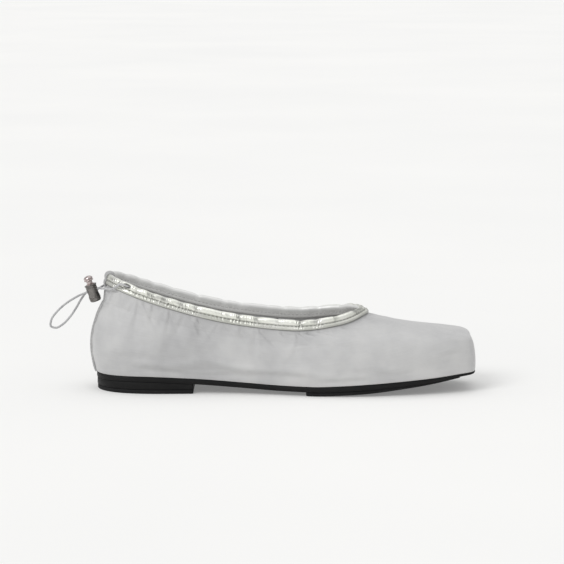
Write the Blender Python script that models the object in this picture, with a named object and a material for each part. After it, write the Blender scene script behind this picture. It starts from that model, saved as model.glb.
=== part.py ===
"""A right-foot ballet slipper with a square toe, a low heel and an elastic drawcord round its topline.

Metres, +Z up. +X points to the toe and -Y to the outer (lateral) side. The origin is on the floor, under
the middle of the shoe. The upper is a wall of ribs: each rib climbs from the feather edge, where the upper
meets the sole, to the topline, and every layer of the wall is that same net of ribs moved inwards.
"""

import math

import bmesh
import bpy
import numpy as np
from mathutils import Matrix, Vector

MM = 0.001

# ---- driving dimensions ---------------------------------------------------------------------------------
SOLE_LENGTH = 244.1 * MM
BALL_WIDTH = 75.5 * MM
HEEL_WIDTH = 52.0 * MM
WAIST_WIDTH = 47.5 * MM
TOE_WIDTH = 45.0 * MM
TOE_CORNER = 8.5 * MM  # radius of the square toe's corners, seen from above

HEEL_SEAT_HEIGHT = 11.3 * MM  # feather edge above the floor, over the heel
TOE_SPRING = 13.6 * MM  # feather edge above the floor, at the toe
TOE_BOX_HEIGHT = 37.0 * MM  # top edge of the toe box above the floor
HEEL_BULGE = 5.6 * MM  # how far the back of the upper swells past a straight line
TOE_FLARE = 2.4 * MM  # the shoulder overhangs the sole by up to 0.8 of this, and the toe's front leans back 0.9

OPENING_LENGTH = 161.5 * MM
OPENING_WIDTH = 57.0 * MM
OPENING_BACK = 8.3 * MM  # from the sole's back end forward to the topline's back
BACK_HEIGHT = 74.6 * MM  # topline at the back of the heel
SIDE_HEIGHT = 48.4 * MM  # topline at its lowest, beside the ball

GAP = 0.3 * MM  # between pieces that touch
FABRIC = 0.8 * MM
LINING = 0.8 * MM
STIFFENER = 1.0 * MM
BINDING = 0.7 * MM  # leather of the topline binding
BINDING_HEIGHT = 7.2 * MM
STAY = 0.7 * MM
STAY_WIDTH = 11.0 * MM
LASTING_MARGIN = 10.0 * MM  # how far the fabric turns in under the insole

OUTSOLE = 3.4 * MM
OUTSOLE_AT_TOE = 1.4 * MM
GRIP_PAD = 2.3 * MM
GRIP_PAD_AT_TOE = 0.9 * MM
GRIP_PAD_START = 0.553  # share of the sole's length
GRIP_PAD_END = 0.962
GRIP_PAD_INSET = 1.2 * MM
TOP_LIFT = 2.6 * MM
HEEL_LENGTH = 63.8 * MM
INSOLE_BOARD = 2.0 * MM
FOAM = 2.0 * MM
SOCK = 0.9 * MM
SHANK_LENGTH = 92.0 * MM
SHANK_WIDTH = 12.0 * MM
SHANK = 0.8 * MM

NAIL_RADIUS = 0.9 * MM
NAIL_HEAD_RADIUS = 2.0 * MM
NAIL_HEAD = 0.7 * MM
RIVET_RADIUS = 1.5 * MM
RIVET_HEAD_RADIUS = 2.8 * MM
LIFT_NAIL_LENGTH = 4.6 * MM

CORD_DIAMETER = 1.4 * MM
EXIT_SLOT_LENGTH = 7.4 * MM
EXIT_SLOT_HEIGHT = 2.6 * MM

LOCK_BEHIND_HEEL = 2.5 * MM  # lock's axis behind the sole's back end, where the cord crosses it
LOCK_HEIGHT = 63.0 * MM
LOCK_TILT = math.radians(19)  # the lock's top leans back, away from the heel
BARREL_RADIUS = 3.7 * MM
BARREL_WALL = 0.75 * MM
BARREL_ABOVE = 4.2 * MM  # barrel's rim above the cord
BARREL_BELOW = 7.4 * MM  # barrel's closed end below the cord
BARREL_FLOOR = 0.9 * MM
PLUNGER_TRAVEL = 2.2 * MM
PLUNGER_CLEARANCE = 0.25 * MM
PLUNGER_FOOT = 1.2 * MM  # plunger below its cord hole
BUTTON_RADIUS = 3.1 * MM
BUTTON_HEIGHT = 3.3 * MM
CORD_SPACING = 1.8 * MM  # between the two strands in the lock
SPRING_WIRE = 0.4 * MM
SPRING_TURNS = 4

# ---- shape of the last ----------------------------------------------------------------------------------
HEEL_END_X = -SOLE_LENGTH / 2 + 0.37 * HEEL_BULGE
LOCK_CENTRE = Vector((HEEL_END_X - LOCK_BEHIND_HEEL, 0.0, LOCK_HEIGHT))
WALL = FABRIC + GAP + LINING
BALL_HEIGHT = OUTSOLE + GRIP_PAD + 2 * GAP
FOLD_RADIUS = WALL / 2 + GAP + BINDING
CHANNEL_RADIUS = WALL / 2 + GAP
WALL_TOP = FOLD_RADIUS + CORD_DIAMETER / 2 + GAP  # fabric's edge below the binding's top
BELOW_BINDING = 2.2 * MM  # how far the wall stays straight below the binding
STEPS_PER_STATION = 3
ROWS_BETWEEN = 9  # rows of the net between the feather edge and the binding


def feather_stations():
    """Places round the feather edge: heel back, lateral side, toe, then back along the medial side."""
    length, corner = SOLE_LENGTH, TOE_CORNER
    ball, heel, waist, toe = BALL_WIDTH / 2, HEEL_WIDTH / 2, WAIST_WIDTH, TOE_WIDTH / 2
    lateral = [
        (0.030 * length, 0.66 * heel),
        (0.092 * length, 0.97 * heel),
        (0.213 * length, 1.04 * heel),
        (0.350 * length, 0.57 * waist),
        (0.474 * length, 0.83 * ball),
        (0.611 * length, ball),
        (0.752 * length, 0.98 * ball),
        (0.900 * length, toe + 0.46 * (ball - toe)),
        (length - corner, toe + 0.07 * (ball - toe)),
        (length - 0.27 * corner, toe - 0.25 * corner),
        (length, toe - 0.95 * corner),
    ]
    medial = [
        (length, toe - 0.95 * corner),
        (length - 0.27 * corner, toe - 0.25 * corner),
        (length - corner, toe + 0.06 * (ball - toe)),
        (0.900 * length, toe + 0.40 * (ball - toe)),
        (0.768 * length, 0.965 * ball),
        (0.652 * length, 0.98 * ball),
        (0.507 * length, 0.70 * ball),
        (0.370 * length, 0.435 * waist),
        (0.225 * length, 0.93 * heel),
        (0.092 * length, 0.95 * heel),
        (0.030 * length, 0.66 * heel),
    ]
    places = [(0.0, 0.0)] + [(x, -y) for x, y in lateral] + [(length, 0.0)] + medial
    return np.array(places) + (HEEL_END_X, 0.0)


def topline_stations():
    """The binding's top edge at the same stations, as shares of the opening's length, width and rise,
    with how far the binding leans inwards there (sideways over upwards)."""
    half = [
        (0.000, 0.00, 1.00, 0.20),
        (0.028, 0.47, 0.97, 0.14),
        (0.106, 0.76, 0.80, 0.08),
        (0.274, 0.89, 0.47, 0.05),
        (0.461, 0.93, 0.19, 0.05),
        (0.629, 0.98, 0.05, 0.12),
        (0.773, 1.00, 0.00, 0.25),
        (0.878, 0.90, 0.06, 0.42),
        (0.944, 0.68, 0.12, 0.62),
        (0.968, 0.52, 0.16, 0.80),
        (0.981, 0.39, 0.175, 1.00),
        (0.992, 0.25, 0.18, 1.18),
        (1.000, 0.00, 0.18, 1.30),
    ]
    lateral, medial = np.array(half), np.array(half[-2:0:-1])
    shares = np.concatenate([lateral * (1, -1, 1, 1), medial * (1, 0.97, 1, 1)])
    size = (OPENING_LENGTH, OPENING_WIDTH / 2, BACK_HEIGHT - SIDE_HEIGHT, 1.0)
    return shares * size + (HEEL_END_X + OPENING_BACK, 0.0, SIDE_HEIGHT, 0.0)


def curve_through(xs, ys, at):
    """A smooth curve through (xs, ys) that never passes a value it goes through: a cubic in each span."""
    xs, ys, at = (np.asarray(v, float) for v in (xs, ys, at))
    steep = np.diff(ys) / np.diff(xs)
    before, after = steep[:-1], steep[1:]
    turning = before * after <= 0
    middle = np.where(turning, 0, 2 * before * after / np.where(turning, 1, before + after))
    slope = np.concatenate([[steep[0]], middle, [steep[-1]]])
    i = np.clip(np.searchsorted(xs, at, "right") - 1, 0, len(xs) - 2)
    h = xs[i + 1] - xs[i]
    t = np.clip((at - xs[i]) / h, 0, 1)
    rise, hump = t * t * (3 - 2 * t), t * (1 - t)
    ends = h * (slope[i] * hump * (1 - t) - slope[i + 1] * hump * t)
    return ys[i] * (1 - rise) + ys[i + 1] * rise + ends


def closed_spline(knots, points, at):
    """The periodic cubic spline through points at knots, which has one more entry to close the loop."""
    count, spans = len(points), np.diff(knots)
    matrix, pull = np.zeros((count, count)), np.zeros_like(points)
    for k in range(count):
        before, after, following = spans[k - 1], spans[k], (k + 1) % count
        matrix[k, k - 1] += before
        matrix[k, k] += 2 * (before + after)
        matrix[k, following] += after
        pull[k] = 6 * ((points[following] - points[k]) / after - (points[k] - points[k - 1]) / before)
    bend = np.linalg.solve(matrix, pull)
    at = np.mod(at, knots[-1])
    k = np.clip(np.searchsorted(knots, at, "right") - 1, 0, count - 1)
    n, h = (k + 1) % count, spans[k][:, None]
    b = (at - knots[k])[:, None] / h
    a = 1 - b
    return a * points[k] + b * points[n] + ((a**3 - a) * bend[k] + (b**3 - b) * bend[n]) * h * h / 6


FEATHER = feather_stations()
TOPLINE = topline_stations()
STATION_KNOTS = np.concatenate(
    [[0.0], np.cumsum(np.linalg.norm(np.diff(np.vstack([FEATHER, FEATHER[:1]]), axis=0), axis=1))]
)


def along_sole(x):
    """Share of the sole's length at x, 0 at the heel's back and 1 at the toe."""
    return (x - HEEL_END_X) / SOLE_LENGTH


def feather_height(x):
    """Height of the feather edge: the heel seat, down to the ball, then up with the toe spring."""
    rise = TOE_SPRING - BALL_HEIGHT
    drop = HEEL_SEAT_HEIGHT - BALL_HEIGHT
    shares = (0.0, 0.12, 0.25, 0.39, 0.49, 0.57, 0.64, 0.72, 0.83, 0.91, 0.97, 1.0)
    heights = [BALL_HEIGHT + drop * part for part in (0.95, 1.0, 0.75, 0.30, 0.05)]
    heights += [BALL_HEIGHT + rise * part for part in (0.0, 0.10, 0.25, 0.50, 0.70, 0.90, 1.0)]
    return curve_through(shares, heights, along_sole(np.asarray(x, float)))


def feather_at(at):
    """Points of the feather edge and the level direction outwards from it."""
    flat = closed_spline(STATION_KNOTS, FEATHER, at)
    step = 0.1 * MM
    ahead = closed_spline(STATION_KNOTS, FEATHER, at + step) - closed_spline(STATION_KNOTS, FEATHER, at - step)
    ahead /= np.linalg.norm(ahead, axis=1)[:, None]
    outward = np.stack([ahead[:, 1], -ahead[:, 0], np.zeros(len(at))], axis=1)
    return np.column_stack([flat, feather_height(flat[:, 0])]), outward


def topline_at(at):
    """Points of the binding's top edge, with the outward and upward directions of the binding there."""
    top = closed_spline(STATION_KNOTS, TOPLINE, at)
    step = 0.1 * MM
    ahead = closed_spline(STATION_KNOTS, TOPLINE, at + step) - closed_spline(STATION_KNOTS, TOPLINE, at - step)
    level = np.column_stack([ahead[:, 1], -ahead[:, 0], np.zeros(len(at))])
    level /= np.linalg.norm(level, axis=1)[:, None]
    lean, above = top[:, 3:], np.array([0.0, 0.0, 1.0])
    size = np.sqrt(1 + lean**2)
    return top[:, :3], (level + above * lean) / size, (above - level * lean) / size


def dense_ribs(at, count=160):
    """Ribs as fine lines from the feather edge to just below the binding. Each is a corner of two legs, up to
    a shoulder and in to the binding, rounded as a superellipse whose squareness grows towards the toe, with a
    swelling above the heel and the sides."""
    foot, outward = feather_at(at)
    crest, _, upward = topline_at(at)
    top = crest - upward * (BINDING_HEIGHT + BELOW_BINDING)
    share = along_sole(foot[:, 0])
    squareness = curve_through(
        (0, 0.44, 0.52, 0.61, 0.75, 0.90, 0.97, 1.0), (1, 1, 1.25, 1.9, 2.5, 4.5, 11, 18), share
    )
    swelling = curve_through(
        (0, 0.03, 0.09, 0.21, 0.35, 0.47, 0.61, 0.75, 0.9, 1.0),
        (1, 0.95, 0.74, 0.46, 0.33, 0.33, 0.25, 0.08, 0, 0.14),
        share,
    )
    flare = curve_through((0, 0.5, 0.88, 0.97, 1.0), (0.4, 0.6, 0.8, 0.3, -0.9), share) * TOE_FLARE
    ledge = curve_through((0, 0.3, 0.45, 0.61, 0.75, 0.9, 1.0), (1.1, 1.0, 0.93, 0.95, 0.99, 1, 0.99), share)
    shoulder = foot + outward * flare[:, None]
    shoulder[:, 2] = ledge * TOE_BOX_HEIGHT
    slow, part = np.maximum(1, squareness / 2)[:, None], np.linspace(0, 1, count)[None]
    turn = (math.pi / 2 * part**slow / (part**slow + (1 - part) ** slow))[:, :, None]
    power = (2 / squareness)[:, None, None]
    climb, run = np.sin(turn) ** power, 1 - np.maximum(np.cos(turn), 0) ** power
    lines = foot[:, None] + (shoulder - foot)[:, None] * climb + (top - shoulder)[:, None] * run
    swell = np.sin(math.pi * np.clip(climb / 0.84, 0, 1)) ** 0.8
    lines += outward[:, None] * (swelling * HEEL_BULGE)[:, None, None] * swell
    hollow = curve_through((0, 0.6, 0.8, 1.0), (0, 0, 0.9, 1.3), share) * MM
    lines[:, :, 2] -= hollow[:, None] * 4 * run[:, :, 0] * (1 - run[:, :, 0])
    return lines


def rib_net(at):
    """The wall's outer face as (rib, row): rows at the feather edge, just above it, evenly up the rib to the
    binding, at the fabric's top edge and at the topline. Under the binding a rib is straight."""
    net = []
    for line, crest, upward in zip(dense_ribs(at), topline_at(at)[0], topline_at(at)[2]):
        steps = np.diff(line, axis=0)
        lengths = np.linalg.norm(steps, axis=1)
        along = np.concatenate([[0], np.cumsum(lengths)])
        heading = steps / np.maximum(lengths, 1e-12)[:, None]
        bends = np.arccos(np.clip((heading[1:] * heading[:-1]).sum(1), -1, 1))
        bends[np.minimum(lengths[1:], lengths[:-1]) < 0.001 * MM] = 0
        effort = along + 14 * MM * np.concatenate([[0, 0], np.cumsum(bends)])
        low = GAP + FABRIC + 0.6 * MM
        ends = np.interp([low, along[-1]], along, effort)
        spots = np.interp(np.linspace(*ends, ROWS_BETWEEN + 1), effort, along)
        rows = [np.interp(np.concatenate([[0], spots]), along, line[:, k]) for k in range(3)]
        net.append(np.vstack([np.stack(rows, axis=1), crest - upward * WALL_TOP, crest]))
    return np.array(net)


def outward_of(net, closed=True):
    """Directions out of the shoe at each point of a net, a little over 1 long where a rib bends, so that a
    net moved along them by a distance lies at that distance all over."""
    if closed:
        across = np.roll(net, -1, axis=0) - np.roll(net, 1, axis=0)
    else:
        across = np.gradient(net, axis=0)
    rise = np.diff(net, axis=1)
    below = np.cross(across, np.concatenate([rise[:, :1], rise], axis=1))
    above = np.cross(across, np.concatenate([rise, rise[:, -1:]], axis=1))
    below /= np.linalg.norm(below, axis=2)[:, :, None]
    above /= np.linalg.norm(above, axis=2)[:, :, None]
    return (below + above) / (1 + (below * above).sum(2))[:, :, None]


# ---- making objects -------------------------------------------------------------------------------------
def clear_scene():
    for obj in list(bpy.data.objects):
        bpy.data.objects.remove(obj)


def material(name, colour, roughness, metallic=0.0):
    made = bpy.data.materials.new(name)
    made.use_nodes = True
    shader = made.node_tree.nodes["Principled BSDF"]
    shader.inputs["Base Color"].default_value = (*colour, 1)
    shader.inputs["Roughness"].default_value = roughness
    shader.inputs["Metallic"].default_value = metallic
    return made


def add(name, mesh, finish):
    obj = bpy.data.objects.new(name, mesh)
    bpy.context.scene.collection.objects.link(obj)
    if finish:
        mesh.materials.append(finish)
    return obj


def mesh_from(name, bm, sharp=math.radians(40)):
    bmesh.ops.recalc_face_normals(bm, faces=bm.faces)
    mesh = bpy.data.meshes.new(name)
    bm.to_mesh(mesh)
    bm.free()
    mesh.shade_smooth()
    mesh.set_sharp_from_angle(angle=sharp)
    return mesh


def skin(name, net, finish, thickness, closed=False):
    """A sheet piece: the net is its outer face, and Solidify gives it its thickness inwards."""
    mesh = bpy.data.meshes.new(name)
    ribs, rows = net.shape[:2]
    number = np.arange(ribs * rows).reshape(ribs, rows)
    ahead = np.roll(number, -1, axis=0) if closed else number[1:]
    here = number if closed else number[:-1]
    quads = np.stack([here[:, :-1], ahead[:, :-1], ahead[:, 1:], here[:, 1:]], axis=-1).reshape(-1, 4)
    mesh.from_pydata(net.reshape(-1, 3).tolist(), [], quads.tolist())
    mesh.shade_smooth()
    obj = add(name, mesh, finish)
    solid = obj.modifiers.new("Thickness", "SOLIDIFY")
    solid.thickness = thickness
    solid.offset = -1
    solid.use_even_offset = True
    return obj


def loft(name, rings, finish):
    """A solid through a row of rings with the same number of corners, closed at both ends."""
    bm = bmesh.new()
    placed = [[bm.verts.new(corner) for corner in ring] for ring in rings]
    for ring, following in zip(placed, placed[1:]):
        for k in range(len(ring)):
            n = (k + 1) % len(ring)
            bm.faces.new((ring[k], ring[n], following[n], following[k]))
    bm.faces.new(placed[0])
    bm.faces.new(placed[-1])
    return add(name, mesh_from(name, bm), finish)


def outline(inset, count=360):
    """The feather edge seen from above, moved inwards by inset."""
    at = np.linspace(0, STATION_KNOTS[-1], count, endpoint=False)
    foot, outward = feather_at(at)
    return (foot - outward * inset)[:, :2]


def slab(name, finish, inset, top, bottom, start=None, end=None, stations=30):
    """A flat piece cut to the sole's outline less inset. top and bottom are heights as functions of x."""
    edge = outline(inset)
    back, front = int(edge[:, 0].argmin()), int(edge[:, 0].argmax())
    low_x = edge[back, 0] + 0.2 * MM if start is None else start
    high_x = edge[front, 0] - 0.2 * MM if end is None else end
    sides = [edge[edge[:, 1] < 0], edge[edge[:, 1] > 0]]
    sides = [side[np.argsort(side[:, 0])] for side in sides]
    ease = np.linspace(0, 1, stations)
    bunch_back, bunch_front = start is None, end is None
    share = ease
    if bunch_back and bunch_front:
        share = (1 - np.cos(math.pi * ease)) / 2
    elif bunch_back:
        share = 1 - np.cos(math.pi / 2 * ease)
    elif bunch_front:
        share = np.sin(math.pi / 2 * ease)
    rings = []
    for x in low_x + (high_x - low_x) * share:
        lateral, medial = (np.interp(x, side[:, 0], side[:, 1]) for side in sides)
        high, low = float(top(x)), float(bottom(x))
        rings.append([(x, lateral, high), (x, medial, high), (x, medial, low), (x, lateral, low)])
    return loft(name, rings, finish)


def frame_at(point, direction):
    """Matrix that puts local +Z along direction at point, with local +Y along world +Y."""
    up = Vector(direction).normalized()
    side = Vector((0, 1, 0))
    ahead = side.cross(up).normalized()
    side = up.cross(ahead)
    turn = Matrix((ahead, side, up)).transposed().to_4x4()
    return Matrix.Translation(point) @ turn


def turned(name, profile, finish, place, steps=24):
    """A turned piece: profile is (radius, height) points from the bottom centre to the top centre."""
    bm = bmesh.new()
    path = [bm.verts.new((radius, 0, height)) for radius, height in profile]
    edges = [bm.edges.new(pair) for pair in zip(path, path[1:])]
    bmesh.ops.spin(
        bm, geom=path + edges, cent=(0, 0, 0), axis=(0, 0, 1), angle=2 * math.pi, steps=steps, use_merge=True
    )
    bmesh.ops.remove_doubles(bm, verts=bm.verts, dist=0.001 * MM)
    obj = add(name, mesh_from(name, bm), finish)
    obj.matrix_world = place
    return obj


def box(name, size, place):
    """A plain block centred on place, used to cut slots."""
    bm = bmesh.new()
    bmesh.ops.create_cube(bm, size=1.0, matrix=Matrix.Diagonal((*size, 1.0)))
    obj = add(name, mesh_from(name, bm), None)
    obj.matrix_world = place
    return obj


def as_cutter(obj):
    obj.hide_render = True
    obj.display_type = "WIRE"
    return obj


def cut(obj, cutter):
    tool = obj.modifiers.new("Cut_" + cutter.name, "BOOLEAN")
    tool.operation = "DIFFERENCE"
    tool.object = as_cutter(cutter)
    return obj


def tube(name, points, finish, diameter):
    """A plain tube along points, with filled ends."""
    curve = bpy.data.curves.new(name, "CURVE")
    curve.dimensions = "3D"
    curve.bevel_depth = diameter / 2
    curve.bevel_resolution = 2
    curve.use_fill_caps = True
    spline = curve.splines.new("POLY")
    spline.points.add(len(points) - 1)
    for spot, place in zip(spline.points, points):
        spot.co = (*place, 1)
    return add(name, curve, finish)


# ---- the wall of the upper ------------------------------------------------------------------------------
HALF_RIBS = len(FEATHER) // 2 * STEPS_PER_STATION
RIBS = 2 * HALF_RIBS
COUNTER_REACH = 4 * STEPS_PER_STATION - 2  # ribs each side of the heel's back that the counter covers
COUNTER_ROWS = ROWS_BETWEEN - 2
PUFF_REACH = 4 * STEPS_PER_STATION  # ribs each side of the toe's middle that the toe puff covers
PUFF_ROWS = 6
SEAM_RIB = 5 * STEPS_PER_STATION  # where the vamp lining meets the quarter lining, counted from the heel


def rib_places():
    """Knot values of the ribs: the same number of steps between each two stations."""
    ends = STATION_KNOTS
    share = np.arange(STEPS_PER_STATION) / STEPS_PER_STATION
    return (ends[:-1, None] + np.diff(ends)[:, None] * share).ravel()


def stiffened():
    """1 where a stiffener lies in the wall, falling to 0 over the next ribs and rows."""
    rib = np.arange(RIBS)
    from_heel = np.minimum(rib, RIBS - rib)
    from_toe = HALF_RIBS - from_heel
    row = np.arange(ROWS_BETWEEN + 4)

    def fade(distance, reach):
        return np.clip(1 - (distance - reach) / 2, 0, 1)

    heel = fade(from_heel, COUNTER_REACH)[:, None] * fade(row, COUNTER_ROWS)[None]
    toe = fade(from_toe, PUFF_REACH)[:, None] * fade(row, PUFF_ROWS)[None]
    return np.maximum(heel, toe)[:, :, None]


def ribs_round(middle, reach):
    return [(middle + k) % RIBS for k in range(-reach, reach + 1)]


def make_wall(finishes):
    """Fabric, stiffeners and linings: the rib net moved inwards layer by layer."""
    net = rib_net(rib_places())
    outward_net = outward_of(net)
    foot, outward = feather_at(rib_places())
    spine = np.clip(foot[:, 0], HEEL_END_X + 30 * MM, HEEL_END_X + SOLE_LENGTH - 26 * MM)
    inward = np.column_stack([spine - foot[:, 0], -foot[:, 1], np.zeros(RIBS)])
    inward /= np.linalg.norm(inward, axis=1)[:, None]
    margins = []
    for reach in (LASTING_MARGIN, 0.5 * LASTING_MARGIN):
        turned_in = foot + inward * reach
        turned_in[:, 2] = feather_height(turned_in[:, 0])
        margins.append(turned_in)
    fabric = np.concatenate([np.stack(margins, axis=1), net[:, :-1]], axis=1)
    skin("upper_fabric", fabric, finishes["fabric"], FABRIC, closed=True)

    stiff = net - outward_net * (FABRIC + GAP)
    counter = stiff[ribs_round(0, COUNTER_REACH), 1 : COUNTER_ROWS + 1]
    skin("heel_counter", counter, finishes["board"], STIFFENER)
    puff = stiff[ribs_round(HALF_RIBS, PUFF_REACH), 1 : PUFF_ROWS + 1]
    skin("toe_puff", puff, finishes["board"], STIFFENER)

    lining = net - outward_net * (FABRIC + GAP + (STIFFENER + GAP) * stiffened())
    lining = lining[:, 1:-1]
    vamp = lining[SEAM_RIB : RIBS - SEAM_RIB + 1]
    quarter = lining[ribs_round(0, SEAM_RIB)]
    for piece, ends in ((vamp, 1), (quarter, -1)):
        piece[0] += (piece[1] - piece[0]) * 0.06
        piece[-1] += (piece[-2] - piece[-1]) * 0.06
    skin("vamp_lining", vamp, finishes["lining"], LINING)
    skin("quarter_lining", quarter, finishes["lining"], LINING)


def make_back_stay(finishes):
    """The strip over the back seam, from the feather edge to the binding."""
    at = np.linspace(-STAY_WIDTH / 2, STAY_WIDTH / 2, 5)
    net = rib_net(np.mod(at, STATION_KNOTS[-1]))
    strip = (net + outward_of(net, closed=False) * (GAP + STAY))[:, 1 : ROWS_BETWEEN + 1]
    strip[:, -1] = strip[:, -2] + (strip[:, -1] - strip[:, -2]) * 0.8
    skin("back_stay", strip, finishes["fabric"], STAY)


def binding_profile():
    """Half of the folded leather in the wall's own frame, as (outward, upward from the topline)."""
    middle = -WALL / 2
    points = [(middle + FOLD_RADIUS, -BINDING_HEIGHT), (middle + FOLD_RADIUS, -FOLD_RADIUS - 1.6 * MM)]
    for turn in np.linspace(0, math.pi, 7):
        points.append((middle + FOLD_RADIUS * math.cos(turn), -FOLD_RADIUS + FOLD_RADIUS * math.sin(turn)))
    points += [(middle - FOLD_RADIUS, -FOLD_RADIUS - 1.6 * MM), (middle - FOLD_RADIUS, -BINDING_HEIGHT)]
    return np.array(points)


def cord_channel(at):
    """Centres of the fold's channel, where the drawcord runs."""
    top, outward, upward = topline_at(at)
    return top - outward * WALL / 2 - upward * FOLD_RADIUS


# Where the drawcord leaves the binding, in ribs from the heel's back.
EXIT_RIB = 6


def make_binding(finishes):
    top, outward, upward = topline_at(rib_places())
    profile = binding_profile()
    sheet = top[:, None] + outward[:, None] * profile[None, :, :1] + upward[:, None] * profile[None, :, 1:]
    binding = skin("topline_binding", sheet, finishes["silver_leather"], BINDING, closed=True)
    centres = cord_channel(rib_places())
    for side, rib in (("lateral", EXIT_RIB), ("medial", RIBS - EXIT_RIB)):
        back = -1 if side == "lateral" else 1
        run = Vector(centres[rib + back] - centres[rib]).normalized()
        out, up = Vector(outward[rib]), Vector(upward[rib])
        across = run.cross(up).normalized()
        turn = Matrix((run, across, up)).transposed().to_4x4()
        middle = Vector(centres[rib]) + out * FOLD_RADIUS + run * EXIT_SLOT_LENGTH * 0.46
        cutter = box(
            f"exit_slot_{side}",
            (EXIT_SLOT_LENGTH, 2.4 * FOLD_RADIUS, EXIT_SLOT_HEIGHT),
            Matrix.Translation(middle + out * 0.2 * MM) @ turn,
        )
        cut(binding, cutter)


def make_casing_run(finishes):
    """The drawcord inside the binding, from the lateral exit forward round the throat to the medial exit."""
    centres = cord_channel(rib_places())
    tube("drawcord_casing_run", centres[EXIT_RIB : RIBS - EXIT_RIB + 1], finishes["cord"], CORD_DIAMETER)


# ---- the sole -------------------------------------------------------------------------------------------
def outsole_thickness(x):
    return curve_through(
        (0, 0.70, 0.85, 0.95, 1.0),
        (OUTSOLE, OUTSOLE, 0.8 * OUTSOLE, 0.5 * OUTSOLE, OUTSOLE_AT_TOE),
        along_sole(x),
    )


def grip_pad_thickness(x):
    span = GRIP_PAD_END - GRIP_PAD_START
    shares = [GRIP_PAD_START + span * part for part in (0, 0.3, 0.7, 1.0)]
    fade = GRIP_PAD_AT_TOE + 0.5 * (GRIP_PAD - GRIP_PAD_AT_TOE)
    return curve_through(shares, (GRIP_PAD, GRIP_PAD, fade, GRIP_PAD_AT_TOE), along_sole(x))


def outsole_top(x):
    return feather_height(x) - GAP


def outsole_bottom(x):
    return outsole_top(x) - outsole_thickness(x)


def board_bottom(x):
    return feather_height(x) + FABRIC + GAP


def board_top(x):
    return board_bottom(x) + INSOLE_BOARD


def foam_bottom(x):
    return board_top(x) + GAP


def sock_bottom(x):
    return foam_bottom(x) + FOAM + GAP


HEEL_BREAST_X = HEEL_END_X + HEEL_LENGTH
SHANK_START_X = HEEL_END_X + 28 * MM
INNER_INSET = FABRIC + STIFFENER + LINING + 3 * GAP + 0.2 * MM
NAIL_PLACES = [(15 * MM, 0), (24 * MM, -12 * MM), (24 * MM, 12 * MM), (40 * MM, -13 * MM), (40 * MM, 12 * MM)]
LIFT_NAIL_PLACES = [(9 * MM, 0), (20 * MM, -15 * MM), (20 * MM, 15 * MM)]
RIVET_PLACES = [12 * MM, SHANK_LENGTH - 12 * MM]


def headed_pin(name, x, y, head_top, length, radius, head_radius, head, finish, upright=True):
    """A nail or rivet and the cutter for its hole. The head is at head_top, and the pin points down, or up."""
    for clearance, label in ((0.0, name), (GAP, name + "_hole")):
        reach = length + clearance
        profile = [
            (0, -reach),
            (radius + clearance, -reach),
            (radius + clearance, -head - clearance),
            (head_radius + clearance, -head - clearance),
            (head_radius + clearance, 2 * MM if clearance else 0),
            (0, 2 * MM if clearance else 0),
        ]
        direction = (0, 0, 1) if upright else (0, 0, -1)
        piece = turned(label, profile, finish, frame_at((x, y, head_top), direction), steps=16)
        if clearance:
            as_cutter(piece)
    return piece


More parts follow.
